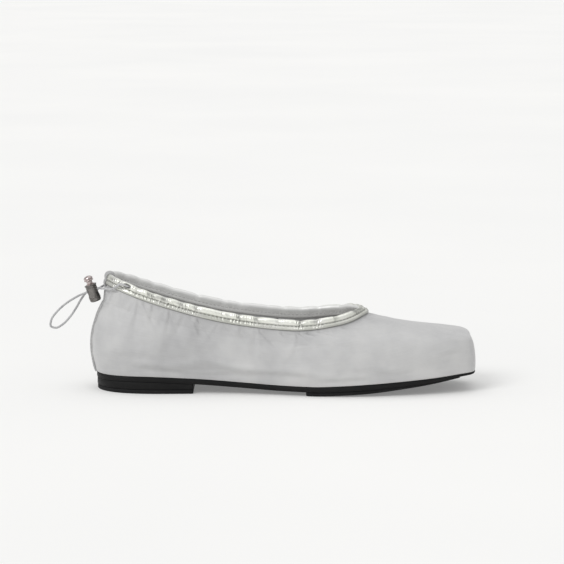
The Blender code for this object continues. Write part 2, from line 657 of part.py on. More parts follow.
def make_sole(finishes):
    lift_top = TOP_LIFT
    block_bottom = lift_top + GAP
    outsole = slab("outsole", finishes["black"], 0.0, outsole_top, outsole_bottom, stations=36)
    slab(
        "forepart_grip_pad",
        finishes["rubber"],
        GRIP_PAD_INSET,
        lambda x: outsole_bottom(x) - GAP,
        lambda x: outsole_bottom(x) - GAP - grip_pad_thickness(x),
        start=HEEL_END_X + GRIP_PAD_START * SOLE_LENGTH,
        end=HEEL_END_X + GRIP_PAD_END * SOLE_LENGTH,
        stations=18,
    )
    block = slab(
        "heel_block",
        finishes["black"],
        0.2 * MM,
        lambda x: outsole_bottom(x) - GAP,
        lambda x: block_bottom,
        end=HEEL_BREAST_X,
        stations=16,
    )
    lift = slab(
        "heel_top_lift",
        finishes["rubber"],
        0.4 * MM,
        lambda x: lift_top,
        lambda x: 0.0,
        end=HEEL_BREAST_X + 0.2 * MM,
        stations=16,
    )
    board = slab("insole_board", finishes["board"], INNER_INSET, board_top, board_bottom)
    slab("footbed_foam", finishes["foam"], INNER_INSET, lambda x: foam_bottom(x) + FOAM, foam_bottom)
    slab("sock_lining", finishes["sock"], INNER_INSET, lambda x: sock_bottom(x) + SOCK, sock_bottom)
    shank_end = SHANK_START_X + SHANK_LENGTH
    slab(
        "forepart_filler",
        finishes["cork"],
        LASTING_MARGIN + 2 * MM,
        lambda x: feather_height(x) + FABRIC,
        lambda x: feather_height(x),
        start=shank_end + 4 * MM,
        end=HEEL_END_X + SOLE_LENGTH - 18 * MM,
        stations=16,
    )
    rings = []
    for x in np.linspace(SHANK_START_X, shank_end, 16):
        low = float(feather_height(x))
        half = SHANK_WIDTH / 2
        rings.append([(x, -half, low + SHANK), (x, half, low + SHANK), (x, half, low), (x, -half, low)])
    shank = loft("shank", rings, finishes["steel"])

    for number, (ahead, across) in enumerate(NAIL_PLACES, 1):
        x = HEEL_END_X + ahead
        head_top = float(board_top(x)) - 0.1 * MM
        length = head_top - block_bottom - 1.0 * MM
        sizes = (length, NAIL_RADIUS, NAIL_HEAD_RADIUS, NAIL_HEAD)
        hole = headed_pin(f"heel_nail_{number}", x, across, head_top, *sizes, finishes["steel"])
        targets = [board, outsole, block]
        if abs(across) < SHANK_WIDTH / 2 and x > SHANK_START_X - 2 * MM:
            targets.append(shank)
        for target in targets:
            cut(target, hole)
    for number, ahead in enumerate(RIVET_PLACES, 1):
        x = SHANK_START_X + ahead
        head_top = float(board_top(x)) - 0.1 * MM
        length = head_top - float(feather_height(x)) - 0.1 * MM
        sizes = (length, RIVET_RADIUS, RIVET_HEAD_RADIUS, NAIL_HEAD)
        hole = headed_pin(f"shank_rivet_{number}", x, 0.0, head_top, *sizes, finishes["brass"])
        cut(board, hole)
        cut(shank, hole)
    for number, (ahead, across) in enumerate(LIFT_NAIL_PLACES, 1):
        x = HEEL_END_X + ahead
        hole = headed_pin(
            f"lift_nail_{number}",
            x,
            across,
            0.2 * MM,
            LIFT_NAIL_LENGTH,
            NAIL_RADIUS,
            1.3 * MM,
            NAIL_HEAD,
            finishes["steel"],
            upright=False,
        )
        cut(lift, hole)
        cut(block, hole)


# ---- the cord lock --------------------------------------------------------------------------------------
LOCK_AXIS = Vector((-math.sin(LOCK_TILT), 0, math.cos(LOCK_TILT)))
HOLE_AXIS = Vector((math.cos(LOCK_TILT), 0, math.sin(LOCK_TILT)))  # along the cords, towards the heel
HOLE_HALF_WIDTH = CORD_SPACING / 2 + CORD_DIAMETER / 2 + GAP
HOLE_EDGE = CORD_DIAMETER / 2 + GAP  # hole's edge from the cord's middle, on the side that grips it
BORE_RADIUS = BARREL_RADIUS - BARREL_WALL
PLUNGER_RADIUS = BORE_RADIUS - PLUNGER_CLEARANCE


def along_lock(distance):
    """Frame on the lock's axis, at a distance above the cord."""
    return frame_at(LOCK_CENTRE + LOCK_AXIS * distance, LOCK_AXIS)


def cord_hole(name, low, high):
    """Cutter for the hole that both strands pass through."""
    size = (6 * BARREL_RADIUS, 2 * HOLE_HALF_WIDTH, high - low)
    return box(name, size, along_lock((low + high) / 2))


def make_lock(finishes):
    floor = -BARREL_BELOW + BARREL_FLOOR
    edge = 0.5 * MM
    barrel = turned(
        "lock_barrel",
        [
            (0, -BARREL_BELOW),
            (BARREL_RADIUS - 2 * edge, -BARREL_BELOW),
            (BARREL_RADIUS, -BARREL_BELOW + 2 * edge),
            (BARREL_RADIUS, BARREL_ABOVE - edge),
            (BARREL_RADIUS - edge / 2, BARREL_ABOVE),
            (BORE_RADIUS, BARREL_ABOVE),
            (BORE_RADIUS, floor),
            (0, floor),
        ],
        finishes["nickel"],
        along_lock(0),
        steps=32,
    )
    cut(barrel, cord_hole("barrel_cord_hole", -HOLE_EDGE - PLUNGER_TRAVEL, HOLE_EDGE))

    neck_top = BARREL_ABOVE + PLUNGER_TRAVEL + GAP
    foot = -HOLE_EDGE - PLUNGER_FOOT
    profile = [(0, foot), (PLUNGER_RADIUS, foot), (PLUNGER_RADIUS, neck_top), (BUTTON_RADIUS, neck_top)]
    dome = BUTTON_HEIGHT * 0.6
    profile.append((BUTTON_RADIUS, neck_top + BUTTON_HEIGHT - dome))
    for turn in np.linspace(0, math.pi / 2, 5)[1:]:
        radius = BUTTON_RADIUS * math.cos(turn)
        profile.append((max(radius, 0.0), neck_top + BUTTON_HEIGHT - dome + dome * math.sin(turn)))
    plunger = turned("lock_plunger", profile, finishes["nickel"], along_lock(0), steps=32)
    cut(plunger, cord_hole("plunger_cord_hole", -HOLE_EDGE, HOLE_EDGE + PLUNGER_TRAVEL))

    low, high = floor + GAP + SPRING_WIRE / 2, foot - GAP - SPRING_WIRE / 2
    radius = PLUNGER_RADIUS - 0.4 * MM - SPRING_WIRE / 2
    place = along_lock(0)
    coil = []
    for step in range(SPRING_TURNS * 12 + 1):
        turn = 2 * math.pi * step / 12
        height = low + (high - low) * step / (SPRING_TURNS * 12)
        coil.append(place @ Vector((radius * math.cos(turn), radius * math.sin(turn), height)))
    tube("lock_spring", coil, finishes["steel"], SPRING_WIRE)


# ---- the free part of the drawcord ----------------------------------------------------------------------
def smooth_path(points, spacing):
    """Points at about this spacing on a smooth curve through points."""
    points = np.array(points, float)
    knots = np.concatenate([[0], np.cumsum(np.linalg.norm(np.diff(points, axis=0), axis=1))])
    slope = np.gradient(points, knots, axis=0)
    at = np.linspace(0, knots[-1], round(knots[-1] / spacing) + 1)
    i = np.clip(np.searchsorted(knots, at, "right") - 1, 0, len(knots) - 2)
    h = (knots[i + 1] - knots[i])[:, None]
    t = (at - knots[i])[:, None] / h
    rise, hump = t * t * (3 - 2 * t), t * (1 - t)
    return points[i] * (1 - rise) + points[i + 1] * rise + h * hump * (slope[i] * (1 - t) - slope[i + 1] * t)


def strand_to_lock(side):
    """Hand-set points of one free strand, from its exit slot back to the lock: -1 lateral, 1 medial."""
    rib = EXIT_RIB if side < 0 else RIBS - EXIT_RIB
    centres = cord_channel(rib_places())
    start = Vector(centres[rib])
    run = (Vector(centres[rib + side]) - start).normalized()
    out = Vector(topline_at(rib_places())[1][rib])
    leave = [(0.4, 0.0), (1.8, 0.35), (4.6, 2.1), (7.6, 3.4)]
    points = [start + run * back * MM + out * away * MM for back, away in leave]
    for ahead, across, above in ((14.2, 17.6, 3.6), (8.6, 9.6, 2.7), (5.9, 4.6, 2.0)):
        points.append(LOCK_CENTRE + Vector((ahead, side * across, above)) * MM)
    for ahead, across in ((5.0, 0.60), (4.0, 0.51), (0.0, 0.5), (-4.0, 0.5)):
        points.append(LOCK_CENTRE + HOLE_AXIS * ahead * MM + Vector((0, side * across * CORD_SPACING, 0)))
    return points


def make_loop(finishes):
    """The free cord: the lateral strand through the lock, round the hanging loop and back by the medial one."""
    lateral, medial = strand_to_lock(-1), strand_to_lock(1)
    hanging = [
        (-7.4, -1.15, -2.6),
        (-12.3, -1.2, -5.2),
        (-17.6, -0.9, -8.8),
        (-22.8, -0.5, -13.6),
        (-26.8, 0.0, -19.4),
        (-27.1, 0.2, -23.4),
        (-24.0, 0.5, -24.5),
        (-19.4, 0.9, -22.2),
        (-14.8, 1.2, -17.5),
        (-10.6, 1.3, -11.4),
        (-7.0, 1.15, -5.3),
    ]
    points = lateral + [LOCK_CENTRE + Vector(place) * MM for place in hanging] + medial[::-1]
    tube("drawcord_loop", smooth_path(points, 1.5 * CORD_DIAMETER), finishes["cord"], CORD_DIAMETER)


def main():
    clear_scene()
    finishes = {
        "fabric": material("silver_grey_satin", (0.56, 0.56, 0.57), 0.55),
        "lining": material("grey_lining", (0.50, 0.50, 0.50), 0.7),
        "silver_leather": material("silver_leather", (0.72, 0.72, 0.70), 0.28, 0.7),
        "board": material("fibre_board", (0.45, 0.33, 0.22), 0.9),
        "foam": material("latex_foam", (0.80, 0.76, 0.62), 0.9),
        "sock": material("sock_leather", (0.62, 0.62, 0.62), 0.6),
        "cork": material("cork_filler", (0.42, 0.28, 0.16), 0.95),
        "black": material("black_sole", (0.015, 0.015, 0.016), 0.5),
        "rubber": material("dark_rubber", (0.03, 0.03, 0.032), 0.75),
        "steel": material("steel", (0.55, 0.55, 0.56), 0.35, 1.0),
        "brass": material("brass", (0.7, 0.5, 0.2), 0.35, 1.0),
        "nickel": material("nickel", (0.45, 0.41, 0.40), 0.25, 1.0),
        "cord": material("grey_elastic", (0.55, 0.55, 0.56), 0.8),
    }
    make_wall(finishes)
    make_back_stay(finishes)
    make_binding(finishes)
    make_casing_run(finishes)
    make_sole(finishes)
    make_lock(finishes)
    make_loop(finishes)


main()
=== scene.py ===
"""Ballet slipper: the finished look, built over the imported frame.

Metres, +X to the toe, -Y to the outer side, +Z up. The upper is worked out as a net of ribs that climb from
the feather edge, where the upper meets the sole, to the topline. Cloth, lining, casing and stitches are all
laid on that net, with folds added as heights along its outward direction.
"""

import math

import bpy
import numpy as np
from mathutils import Matrix, Vector


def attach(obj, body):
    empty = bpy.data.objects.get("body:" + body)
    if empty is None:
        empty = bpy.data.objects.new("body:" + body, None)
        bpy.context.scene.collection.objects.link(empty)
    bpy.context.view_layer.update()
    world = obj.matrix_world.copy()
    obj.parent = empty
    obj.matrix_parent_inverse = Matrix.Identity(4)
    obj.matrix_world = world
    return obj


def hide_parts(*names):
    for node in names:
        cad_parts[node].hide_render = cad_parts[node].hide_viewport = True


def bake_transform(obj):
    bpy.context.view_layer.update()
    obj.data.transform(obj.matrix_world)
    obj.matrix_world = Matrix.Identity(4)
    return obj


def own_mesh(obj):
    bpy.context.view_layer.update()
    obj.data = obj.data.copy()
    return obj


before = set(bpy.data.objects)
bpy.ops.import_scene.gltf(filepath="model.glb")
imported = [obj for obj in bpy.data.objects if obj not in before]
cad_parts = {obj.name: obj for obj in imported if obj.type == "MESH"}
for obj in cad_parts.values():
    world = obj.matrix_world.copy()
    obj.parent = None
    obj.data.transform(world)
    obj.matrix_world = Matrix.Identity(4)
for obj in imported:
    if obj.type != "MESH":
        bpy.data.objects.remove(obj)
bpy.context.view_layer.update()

MM = 0.001
TAU = 2 * math.pi


# ---- camera ---------------------------------------------------------------------------------------------
def set_camera():
    """Long lens, level with the shoe's outer side and a little above it."""
    lens = bpy.data.cameras.new("camera")
    lens.lens, lens.sensor_width = 158.2, 36.0
    lens.clip_start, lens.clip_end = 0.05, 20
    camera = bpy.data.objects.new("camera", lens)
    bpy.context.scene.collection.objects.link(camera)
    target, away, rise = Vector((0, 0, 0.0685)), 1.6, math.radians(8.2)
    camera.location = target + Vector((0, -math.cos(rise), math.sin(rise))) * away
    camera.rotation_euler = (math.pi / 2 - rise, 0, 0)
    bpy.context.scene.camera = camera


set_camera()


# ---- smooth curves --------------------------------------------------------------------------------------
def curve_through(xs, ys, at):
    """A cubic in each span of (xs, ys), with the harmonic mean of the neighbouring slopes at each point."""
    xs, ys, at = (np.asarray(v, float) for v in (xs, ys, at))
    steep = np.diff(ys) / np.diff(xs)
    before, after = steep[:-1], steep[1:]
    turning = before * after <= 0
    middle = np.where(turning, 0, 2 * before * after / np.where(turning, 1, before + after))
    slope = np.concatenate([[steep[0]], middle, [steep[-1]]])
    i = np.clip(np.searchsorted(xs, at, "right") - 1, 0, len(xs) - 2)
    h = xs[i + 1] - xs[i]
    t = np.clip((at - xs[i]) / h, 0, 1)
    rise, hump = t * t * (3 - 2 * t), t * (1 - t)
    return ys[i] * (1 - rise) + ys[i + 1] * rise + h * (slope[i] * hump * (1 - t) - slope[i + 1] * hump * t)


def closed_spline(knots, points, at):
    """The periodic cubic spline through points at knots, which has one more entry to close the loop."""
    count, spans = len(points), np.diff(knots)
    matrix, pull = np.zeros((count, count)), np.zeros_like(points)
    for k in range(count):
        before, after, following = spans[k - 1], spans[k], (k + 1) % count
        matrix[k, k - 1] += before
        matrix[k, k] += 2 * (before + after)
        matrix[k, following] += after
        pull[k] = 6 * ((points[following] - points[k]) / after - (points[k] - points[k - 1]) / before)
    bend = np.linalg.solve(matrix, pull)
    at = np.mod(at, knots[-1])
    k = np.clip(np.searchsorted(knots, at, "right") - 1, 0, count - 1)
    n, h = (k + 1) % count, spans[k][:, None]
    b = (at - knots[k])[:, None] / h
    a = 1 - b
    return a * points[k] + b * points[n] + ((a**3 - a) * bend[k] + (b**3 - b) * bend[n]) * h * h / 6


def lengths_along(points):
    """Distance walked to each point of a path."""
    return np.concatenate([[0], np.cumsum(np.linalg.norm(np.diff(points, axis=0), axis=1))])


def smooth_path(points, spacing):
    """Points at about this spacing on a cubic path whose slope at each point is the centred difference."""
    points = np.array(points, float)
    knots = lengths_along(points)
    slope = np.gradient(points, knots, axis=0)
    at = np.linspace(0, knots[-1], round(knots[-1] / spacing) + 1)
    i = np.clip(np.searchsorted(knots, at, "right") - 1, 0, len(knots) - 2)
    h = (knots[i + 1] - knots[i])[:, None]
    t = (at - knots[i])[:, None] / h
    rise, hump = t * t * (3 - 2 * t), t * (1 - t)
    return points[i] * (1 - rise) + points[i + 1] * rise + h * hump * (slope[i] * (1 - t) - slope[i + 1] * t)


# ---- shape of the last, with the sizes of the solids ----------------------------------------------------
SOLE_LENGTH, BALL_WIDTH, HEEL_WIDTH, WAIST_WIDTH, TOE_WIDTH = 0.2441, 0.0755, 0.052, 0.0475, 0.045
TOE_CORNER, HEEL_SEAT_HEIGHT, TOE_SPRING, TOE_BOX_HEIGHT = 0.0085, 0.0113, 0.0136, 0.037
HEEL_BULGE, TOE_FLARE = 0.0056, 0.0024
OPENING_LENGTH, OPENING_WIDTH, OPENING_BACK = 0.1615, 0.057, 0.0083
BACK_HEIGHT, SIDE_HEIGHT = 0.0746, 0.0484
GAP, FABRIC, LINING, STIFFENER = 0.0003, 0.0008, 0.0008, 0.001
BINDING, BINDING_HEIGHT, BELOW_BINDING = 0.0007, 0.0072, 0.0022
OUTSOLE, OUTSOLE_AT_TOE, GRIP_PAD, GRIP_PAD_AT_TOE = 0.0034, 0.0014, 0.0023, 0.0009
GRIP_PAD_START, GRIP_PAD_END = 0.553, 0.962
TOP_LIFT, HEEL_LENGTH, CORD_DIAMETER, CORD_SPACING = 0.0026, 0.0638, 0.0014, 0.0018
HEEL_END_X = -SOLE_LENGTH / 2 + 0.37 * HEEL_BULGE
WALL = FABRIC + GAP + LINING
FOLD_RADIUS = WALL / 2 + GAP + BINDING
BALL_HEIGHT = OUTSOLE + GRIP_PAD + 2 * GAP


def feather_stations():
    """Places round the feather edge: heel back, lateral side, toe, then back along the medial side."""
    length, corner = SOLE_LENGTH, TOE_CORNER
    ball, heel, waist, toe = BALL_WIDTH / 2, HEEL_WIDTH / 2, WAIST_WIDTH, TOE_WIDTH / 2
    lateral = [
        (0.030 * length, 0.66 * heel),
        (0.092 * length, 0.97 * heel),
        (0.213 * length, 1.04 * heel),
        (0.350 * length, 0.57 * waist),
        (0.474 * length, 0.83 * ball),
        (0.611 * length, ball),
        (0.752 * length, 0.98 * ball),
        (0.900 * length, toe + 0.46 * (ball - toe)),
        (length - corner, toe + 0.07 * (ball - toe)),
        (length - 0.27 * corner, toe - 0.25 * corner),
        (length, toe - 0.95 * corner),
    ]
    medial = [
        (length, toe - 0.95 * corner),
        (length - 0.27 * corner, toe - 0.25 * corner),
        (length - corner, toe + 0.06 * (ball - toe)),
        (0.900 * length, toe + 0.40 * (ball - toe)),
        (0.768 * length, 0.965 * ball),
        (0.652 * length, 0.98 * ball),
        (0.507 * length, 0.70 * ball),
        (0.370 * length, 0.435 * waist),
        (0.225 * length, 0.93 * heel),
        (0.092 * length, 0.95 * heel),
        (0.030 * length, 0.66 * heel),
    ]
    places = [(0.0, 0.0)] + [(x, -y) for x, y in lateral] + [(length, 0.0)] + medial
    return np.array(places) + (HEEL_END_X, 0.0)


def topline_stations():
    """The casing's top edge at the same stations, as shares of the opening's length, width and rise,
    with how far the casing leans inwards there (sideways over upwards)."""
    half = np.array(
        [
            (0.000, 0.00, 1.00, 0.20),
            (0.028, 0.47, 0.97, 0.14),
            (0.106, 0.76, 0.80, 0.08),
            (0.274, 0.89, 0.47, 0.05),
            (0.461, 0.93, 0.19, 0.05),
            (0.629, 0.98, 0.05, 0.12),
            (0.773, 1.00, 0.00, 0.25),
            (0.878, 0.90, 0.06, 0.42),
            (0.944, 0.68, 0.12, 0.62),
            (0.968, 0.52, 0.16, 0.80),
            (0.981, 0.39, 0.175, 1.00),
            (0.992, 0.25, 0.18, 1.18),
            (1.000, 0.00, 0.18, 1.30),
        ]
    )
    shares = np.concatenate([half * (1, -1, 1, 1), half[-2:0:-1] * (1, 0.97, 1, 1)])
    size = (OPENING_LENGTH, OPENING_WIDTH / 2, BACK_HEIGHT - SIDE_HEIGHT, 1.0)
    return shares * size + (HEEL_END_X + OPENING_BACK, 0.0, SIDE_HEIGHT, 0.0)


FEATHER, TOPLINE = feather_stations(), topline_stations()
KNOTS = lengths_along(np.vstack([FEATHER, FEATHER[:1]]))
THROAT_AT, SEAM_AT = KNOTS[12], KNOTS[5]  # the opening's front end, and the seam on the outer side


def along_sole(x):
    return (x - HEEL_END_X) / SOLE_LENGTH


def feather_height(x):
    """Height of the feather edge: the heel seat, down to the ball, then up with the toe spring."""
    rise, drop = TOE_SPRING - BALL_HEIGHT, HEEL_SEAT_HEIGHT - BALL_HEIGHT
    shares = (0.0, 0.12, 0.25, 0.39, 0.49, 0.57, 0.64, 0.72, 0.83, 0.91, 0.97, 1.0)
    heights = [BALL_HEIGHT + drop * part for part in (0.95, 1.0, 0.75, 0.30, 0.05)]
    heights += [BALL_HEIGHT + rise * part for part in (0.0, 0.10, 0.25, 0.50, 0.70, 0.90, 1.0)]
    return curve_through(shares, heights, along_sole(np.asarray(x, float)))


def level_outward(points, at):
    """Level direction out of a closed outline, a quarter turn right of its heading."""
    step = 0.1 * MM
    ahead = closed_spline(KNOTS, points, at + step) - closed_spline(KNOTS, points, at - step)
    out = np.column_stack([ahead[:, 1], -ahead[:, 0], np.zeros(len(at))])
    return out / np.linalg.norm(out, axis=1)[:, None]


def feather_at(at):
    """Points of the feather edge and the level direction outwards from it."""
    flat = closed_spline(KNOTS, FEATHER, at)
    return np.column_stack([flat, feather_height(flat[:, 0])]), level_outward(FEATHER, at)


def topline_at(at):
    """Points of the casing's top edge, with the outward and upward directions of the casing there."""
    top = closed_spline(KNOTS, TOPLINE, at)
    level = level_outward(TOPLINE, at)
    lean, above = top[:, 3:], np.array([0.0, 0.0, 1.0])
    size = np.sqrt(1 + lean**2)
    return top[:, :3], (level + above * lean) / size, (above - level * lean) / size


def rib_lines(at, count=240):
    """Ribs as fine lines from the feather edge to just below the casing. Each is a corner of two legs, up to
    a shoulder and in to the casing, rounded as a superellipse: sin(t)^p along the first leg and 1 - cos(t)^p
    along the second, with p small where the shoe is square. t runs fast through the middle of a square
    corner, and cos(t) is taken as the sine of the rest of the quarter turn, so each line ends on the casing."""
    foot, outward = feather_at(at)
    crest, _, upward = topline_at(at)
    top = crest - upward * (BINDING_HEIGHT + BELOW_BINDING)
    share = along_sole(foot[:, 0])
    places, square = (0, 0.44, 0.52, 0.61, 0.75, 0.90, 0.97, 1.0), (1, 1, 1.25, 1.9, 2.5, 4.5, 11, 18)
    squareness = curve_through(places, square, share)
    places = (0, 0.03, 0.09, 0.21, 0.35, 0.47, 0.61, 0.75, 0.9, 1.0)
    swelling = curve_through(places, (1, 0.95, 0.74, 0.46, 0.33, 0.33, 0.25, 0.08, 0, 0.14), share)
    flare = curve_through((0, 0.5, 0.88, 0.97, 1.0), (0.4, 0.6, 0.8, 0.3, -0.9), share) * TOE_FLARE
    ledge = curve_through((0, 0.3, 0.45, 0.61, 0.75, 0.9, 1.0), (1.1, 1.0, 0.93, 0.95, 0.99, 1, 0.99), share)
    shoulder = foot + outward * flare[:, None]
    shoulder[:, 2] = ledge * TOE_BOX_HEIGHT
    slow, part = np.maximum(1, squareness / 2)[:, None], np.linspace(0, 1, count)[None]
    ahead, behind = part**slow, (1 - part) ** slow
    turn, rest = ((math.pi / 2 * side / (ahead + behind))[:, :, None] for side in (ahead, behind))
    power = (2 / squareness)[:, None, None]
    climb, run = np.sin(turn) ** power, 1 - np.sin(rest) ** power
    lines = foot[:, None] + (shoulder - foot)[:, None] * climb + (top - shoulder)[:, None] * run
    swell = np.sin(math.pi * np.clip(climb / 0.84, 0, 1)) ** 0.8
    lines += outward[:, None] * (swelling * HEEL_BULGE)[:, None, None] * swell
    hollow = curve_through((0, 0.6, 0.8, 1.0), (0, 0, 0.9, 1.3), share) * MM
    lines[:, :, 2] -= hollow[:, None] * 4 * run[:, :, 0] * (1 - run[:, :, 0])
    return lines


def spread(lines, shares, bend_weight=6 * MM):
    """Rows at shares of each line's effort, which is its length plus a weight for each radian it bends, though
    never more than five times the length."""
    steps = np.diff(lines, axis=1)
    long = np.linalg.norm(steps, axis=2)
    heading = steps / np.maximum(long, 1e-12)[:, :, None]
    bend = np.arccos(np.clip((heading[:, 1:] * heading[:, :-1]).sum(2), -1, 1))
    bend = np.minimum(bend_weight * bend, 4 * long[:, 1:])
    effort = np.cumsum(long + np.pad(bend, ((0, 0), (1, 0))), axis=1)
    effort = np.pad(effort, ((0, 0), (1, 0))) / effort[:, -1:]
    number = 2.0 * np.arange(len(lines))[:, None]
    keys, wanted = (effort + number).ravel(), (np.asarray(shares)[None] + number).ravel()
    rows = [np.interp(wanted, keys, lines[:, :, k].ravel()) for k in range(3)]
    return np.stack(rows, axis=1).reshape(len(lines), -1, 3)


def even_places(count, curve, start=0.0, end=None):
    """Station values that divide a closed curve, or a stretch of it, into steps of equal length."""
    end = KNOTS[-1] if end is None else end
    fine = np.linspace(start, end, 6001)
    walked = lengths_along(curve(fine))
    closed = abs(end - start - KNOTS[-1]) < 1e-9
    return np.interp(np.linspace(0, walked[-1], count, endpoint=not closed), walked, fine)


def outward_of(net, closed=True):
    """Unit directions out of the shoe at each point of a net of ribs."""
    around = np.roll(net, -1, axis=0) - np.roll(net, 1, axis=0) if closed else np.gradient(net, axis=0)
    out = np.cross(around, np.gradient(net, axis=1))
    return out / np.maximum(np.linalg.norm(out, axis=2), 1e-12)[:, :, None]


# ---- making pieces --------------------------------------------------------------------------------------
def add_piece(name, mesh, finish, body):
    """A mesh as a piece of the scene that rides on a body."""
    mesh.materials.append(finish)
    obj = bpy.data.objects.new(name, mesh)
    bpy.context.scene.collection.objects.link(obj)
    if body:
        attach(obj, body)
    return obj


def piece_from(name, points, faces, finish, body="shoe", uv=None, smooth=True):
    """One mesh piece that rides on a body. uv holds a pair for every corner of every face, in order."""
    mesh = bpy.data.meshes.new(name)
    mesh.from_pydata(np.asarray(points, float).tolist(), [], np.asarray(faces).tolist())
    if uv is not None:
        layer = mesh.uv_layers.new(name="cloth")
        layer.data.foreach_set("uv", np.asarray(uv, np.float32).ravel())
    if smooth:
        mesh.shade_smooth()
    return add_piece(name, mesh, finish, body)


def grid_faces(rows, columns, closed_rows=False, closed_columns=False):
    """Quads of a grid of points numbered row by row, wrapping round where closed."""
    number = np.arange(rows * columns).reshape(rows, columns)
    if closed_rows:
        number = np.concatenate([number, number[:1]])
    if closed_columns:
        number = np.concatenate([number, number[:, :1]], axis=1)
    quads = np.stack([number[:-1, :-1], number[1:, :-1], number[1:, 1:], number[:-1, 1:]], axis=-1)
    return quads.reshape(-1, 4)


def grid_uv(across, up):
    """Corner pairs for grid_faces: across is one value per row line, up one per column line, in mm."""
    places = np.stack(np.meshgrid(across, up, indexing="ij"), axis=-1)
    corners = [places[:-1, :-1], places[1:, :-1], places[1:, 1:], places[:-1, 1:]]
    return np.stack(corners, axis=2).reshape(-1, 2)


def cloth_grid(name, net, finish, body="shoe", closed=True, uv=None):
    """A net of ribs as a smooth sheet, with its cloth map in millimetres."""
    ribs, rows = net.shape[:2]
    if uv is None:
        middle = net[:, rows // 2]
        across = lengths_along(np.vstack([middle, middle[:1]]) if closed else middle) / MM
        up = lengths_along(net[ribs // 3]) / MM
        uv = grid_uv(across, up)
    return piece_from(name, net.reshape(-1, 3), grid_faces(ribs, rows, closed_rows=closed), finish, body, uv)


def tube_points(path, radius, sides, wobble=None, twist=0.0):
    """Rings of a tube: at each path point a circle in the plane across the path, carried along with the least
    turning. radius is a number or one per ring, and wobble adds a height at each point of each ring."""
    path = np.asarray(path, float)
    heading = np.gradient(path, axis=0)
    heading /= np.linalg.norm(heading, axis=1)[:, None]
    side = np.zeros_like(path)
    first = np.cross(heading[0], (0.0, 0.0, 1.0))
    side[0] = first / np.linalg.norm(first)
    for k in range(1, len(path)):
        carried = side[k - 1] - heading[k] * (side[k - 1] @ heading[k])
        side[k] = carried / np.linalg.norm(carried)
    other = np.cross(heading, side)
    turn = np.linspace(0, TAU, sides, endpoint=False)[None] + twist * lengths_along(path)[:, None]
    size = np.broadcast_to(np.asarray(radius, float).reshape(-1, 1), turn.shape)
    if wobble is not None:
        size = size + wobble(lengths_along(path)[:, None], turn)
    ring = np.cos(turn)[:, :, None] * side[:, None] + np.sin(turn)[:, :, None] * other[:, None]
    return path[:, None] + ring * size[:, :, None]


def tube(name, path, radius, finish, body="shoe", sides=12, wobble=None):
    """A closed tube along a path, with a point at each end's middle."""
    rings = tube_points(path, radius, sides, wobble)
    count = len(rings)
    points = np.concatenate([rings.reshape(-1, 3), [path[0]], [path[-1]]])
    faces = grid_faces(count, sides, closed_columns=True).tolist()
    last = count * sides
    faces += [(last, (k + 1) % sides, k) for k in range(sides)]
    faces += [(last + 1, last - sides + k, last - sides + (k + 1) % sides) for k in range(sides)]
    mesh = bpy.data.meshes.new(name)
    mesh.from_pydata(points.tolist(), [], faces)
    layer = mesh.uv_layers.new(name="cloth")
    loops = np.empty(len(mesh.loops), np.int32)
    mesh.loops.foreach_get("vertex_index", loops)
    along = np.concatenate([np.repeat(lengths_along(np.asarray(path)), sides), [0, 0]]) / MM
    around = np.concatenate([np.tile(np.arange(sides) / sides, count), [0, 0]])
    layer.data.foreach_set("uv", np.column_stack([along[loops], around[loops]]).astype(np.float32).ravel())
    mesh.shade_smooth()
    return add_piece(name, mesh, finish, body)


def stitch_row(
    name, path, outward, finish, pitch=2.6 * MM, length=1.9 * MM, thread=0.22 * MM, lift=0.1 * MM,
    body="shoe",
):
    """A row of thread stitches along a path. Each is a short bead of 9 rings by 6 sides whose ends dip below
    the surface: height = lift - 0.35 mm (2t - 1)^4, and radius = thread sqrt(1 - (2t - 1)^6)."""
    walked = lengths_along(path)
    count = int(walked[-1] // pitch)
    starts = (np.arange(count) + 0.5) * walked[-1] / count
    rings, sides = 9, 6
    share = np.linspace(0, 1, rings)
    places = starts[:, None] + (share[None] - 0.5) * length
    spots = np.stack([np.interp(places, walked, path[:, k]) for k in range(3)], axis=-1)
    out = np.stack([np.interp(places, walked, outward[:, k]) for k in range(3)], axis=-1)
    out /= np.linalg.norm(out, axis=2)[:, :, None]
    heading = np.gradient(spots, axis=1)
    heading /= np.linalg.norm(heading, axis=2)[:, :, None]
    across = np.cross(heading, out)
    sway = 2 * share - 1
    size = thread * np.sqrt(np.clip(1 - sway**6, 0.02, 1))
    spots = spots + out * (lift - 0.35 * MM * sway**4)[None, :, None]
    turn = np.linspace(0, TAU, sides, endpoint=False)
    ring = np.cos(turn)[:, None] * out[:, :, None] + np.sin(turn)[:, None] * across[:, :, None]
    points = spots[:, :, None] + ring * size[None, :, None, None]
    first_cap, last_cap = np.array([[0, 5, 4, 3], [0, 3, 2, 1]]), np.array([[0, 1, 2, 3], [0, 3, 4, 5]])
    one = np.concatenate([grid_faces(rings, sides, closed_columns=True), first_cap, last_cap + (rings - 1) * sides])
    faces = (one[None] + (np.arange(count) * rings * sides)[:, None, None]).reshape(-1, 4)
    return piece_from(name, points.reshape(-1, 3), faces, finish, body)


# ---- folds ----------------------------------------------------------------------------------------------
def soft_noise(x, y, seed, octaves=3, lengths=(30.0, 30.0)):
    """A smooth random height from -1 to 1: a sum of 14 plane waves an octave, each octave half as long and
    half as high as the last. lengths are the longest waves in x and y, in millimetres."""
    random = np.random.default_rng(seed)
    total, height = np.zeros(np.broadcast(x, y).shape), 0.0
    for octave in range(octaves):
        for _ in range(14):
            turn, phase = random.uniform(0, TAU), random.uniform(0, TAU)
            stretch = random.uniform(0.7, 1.4) * 2**octave * TAU
            wave = np.sin(stretch * (math.cos(turn) * x / lengths[0] + math.sin(turn) * y / lengths[1]) + phase)
            total += wave * 0.5**octave
        height += 0.5**octave * math.sqrt(7)
    return total / (1.6 * height)


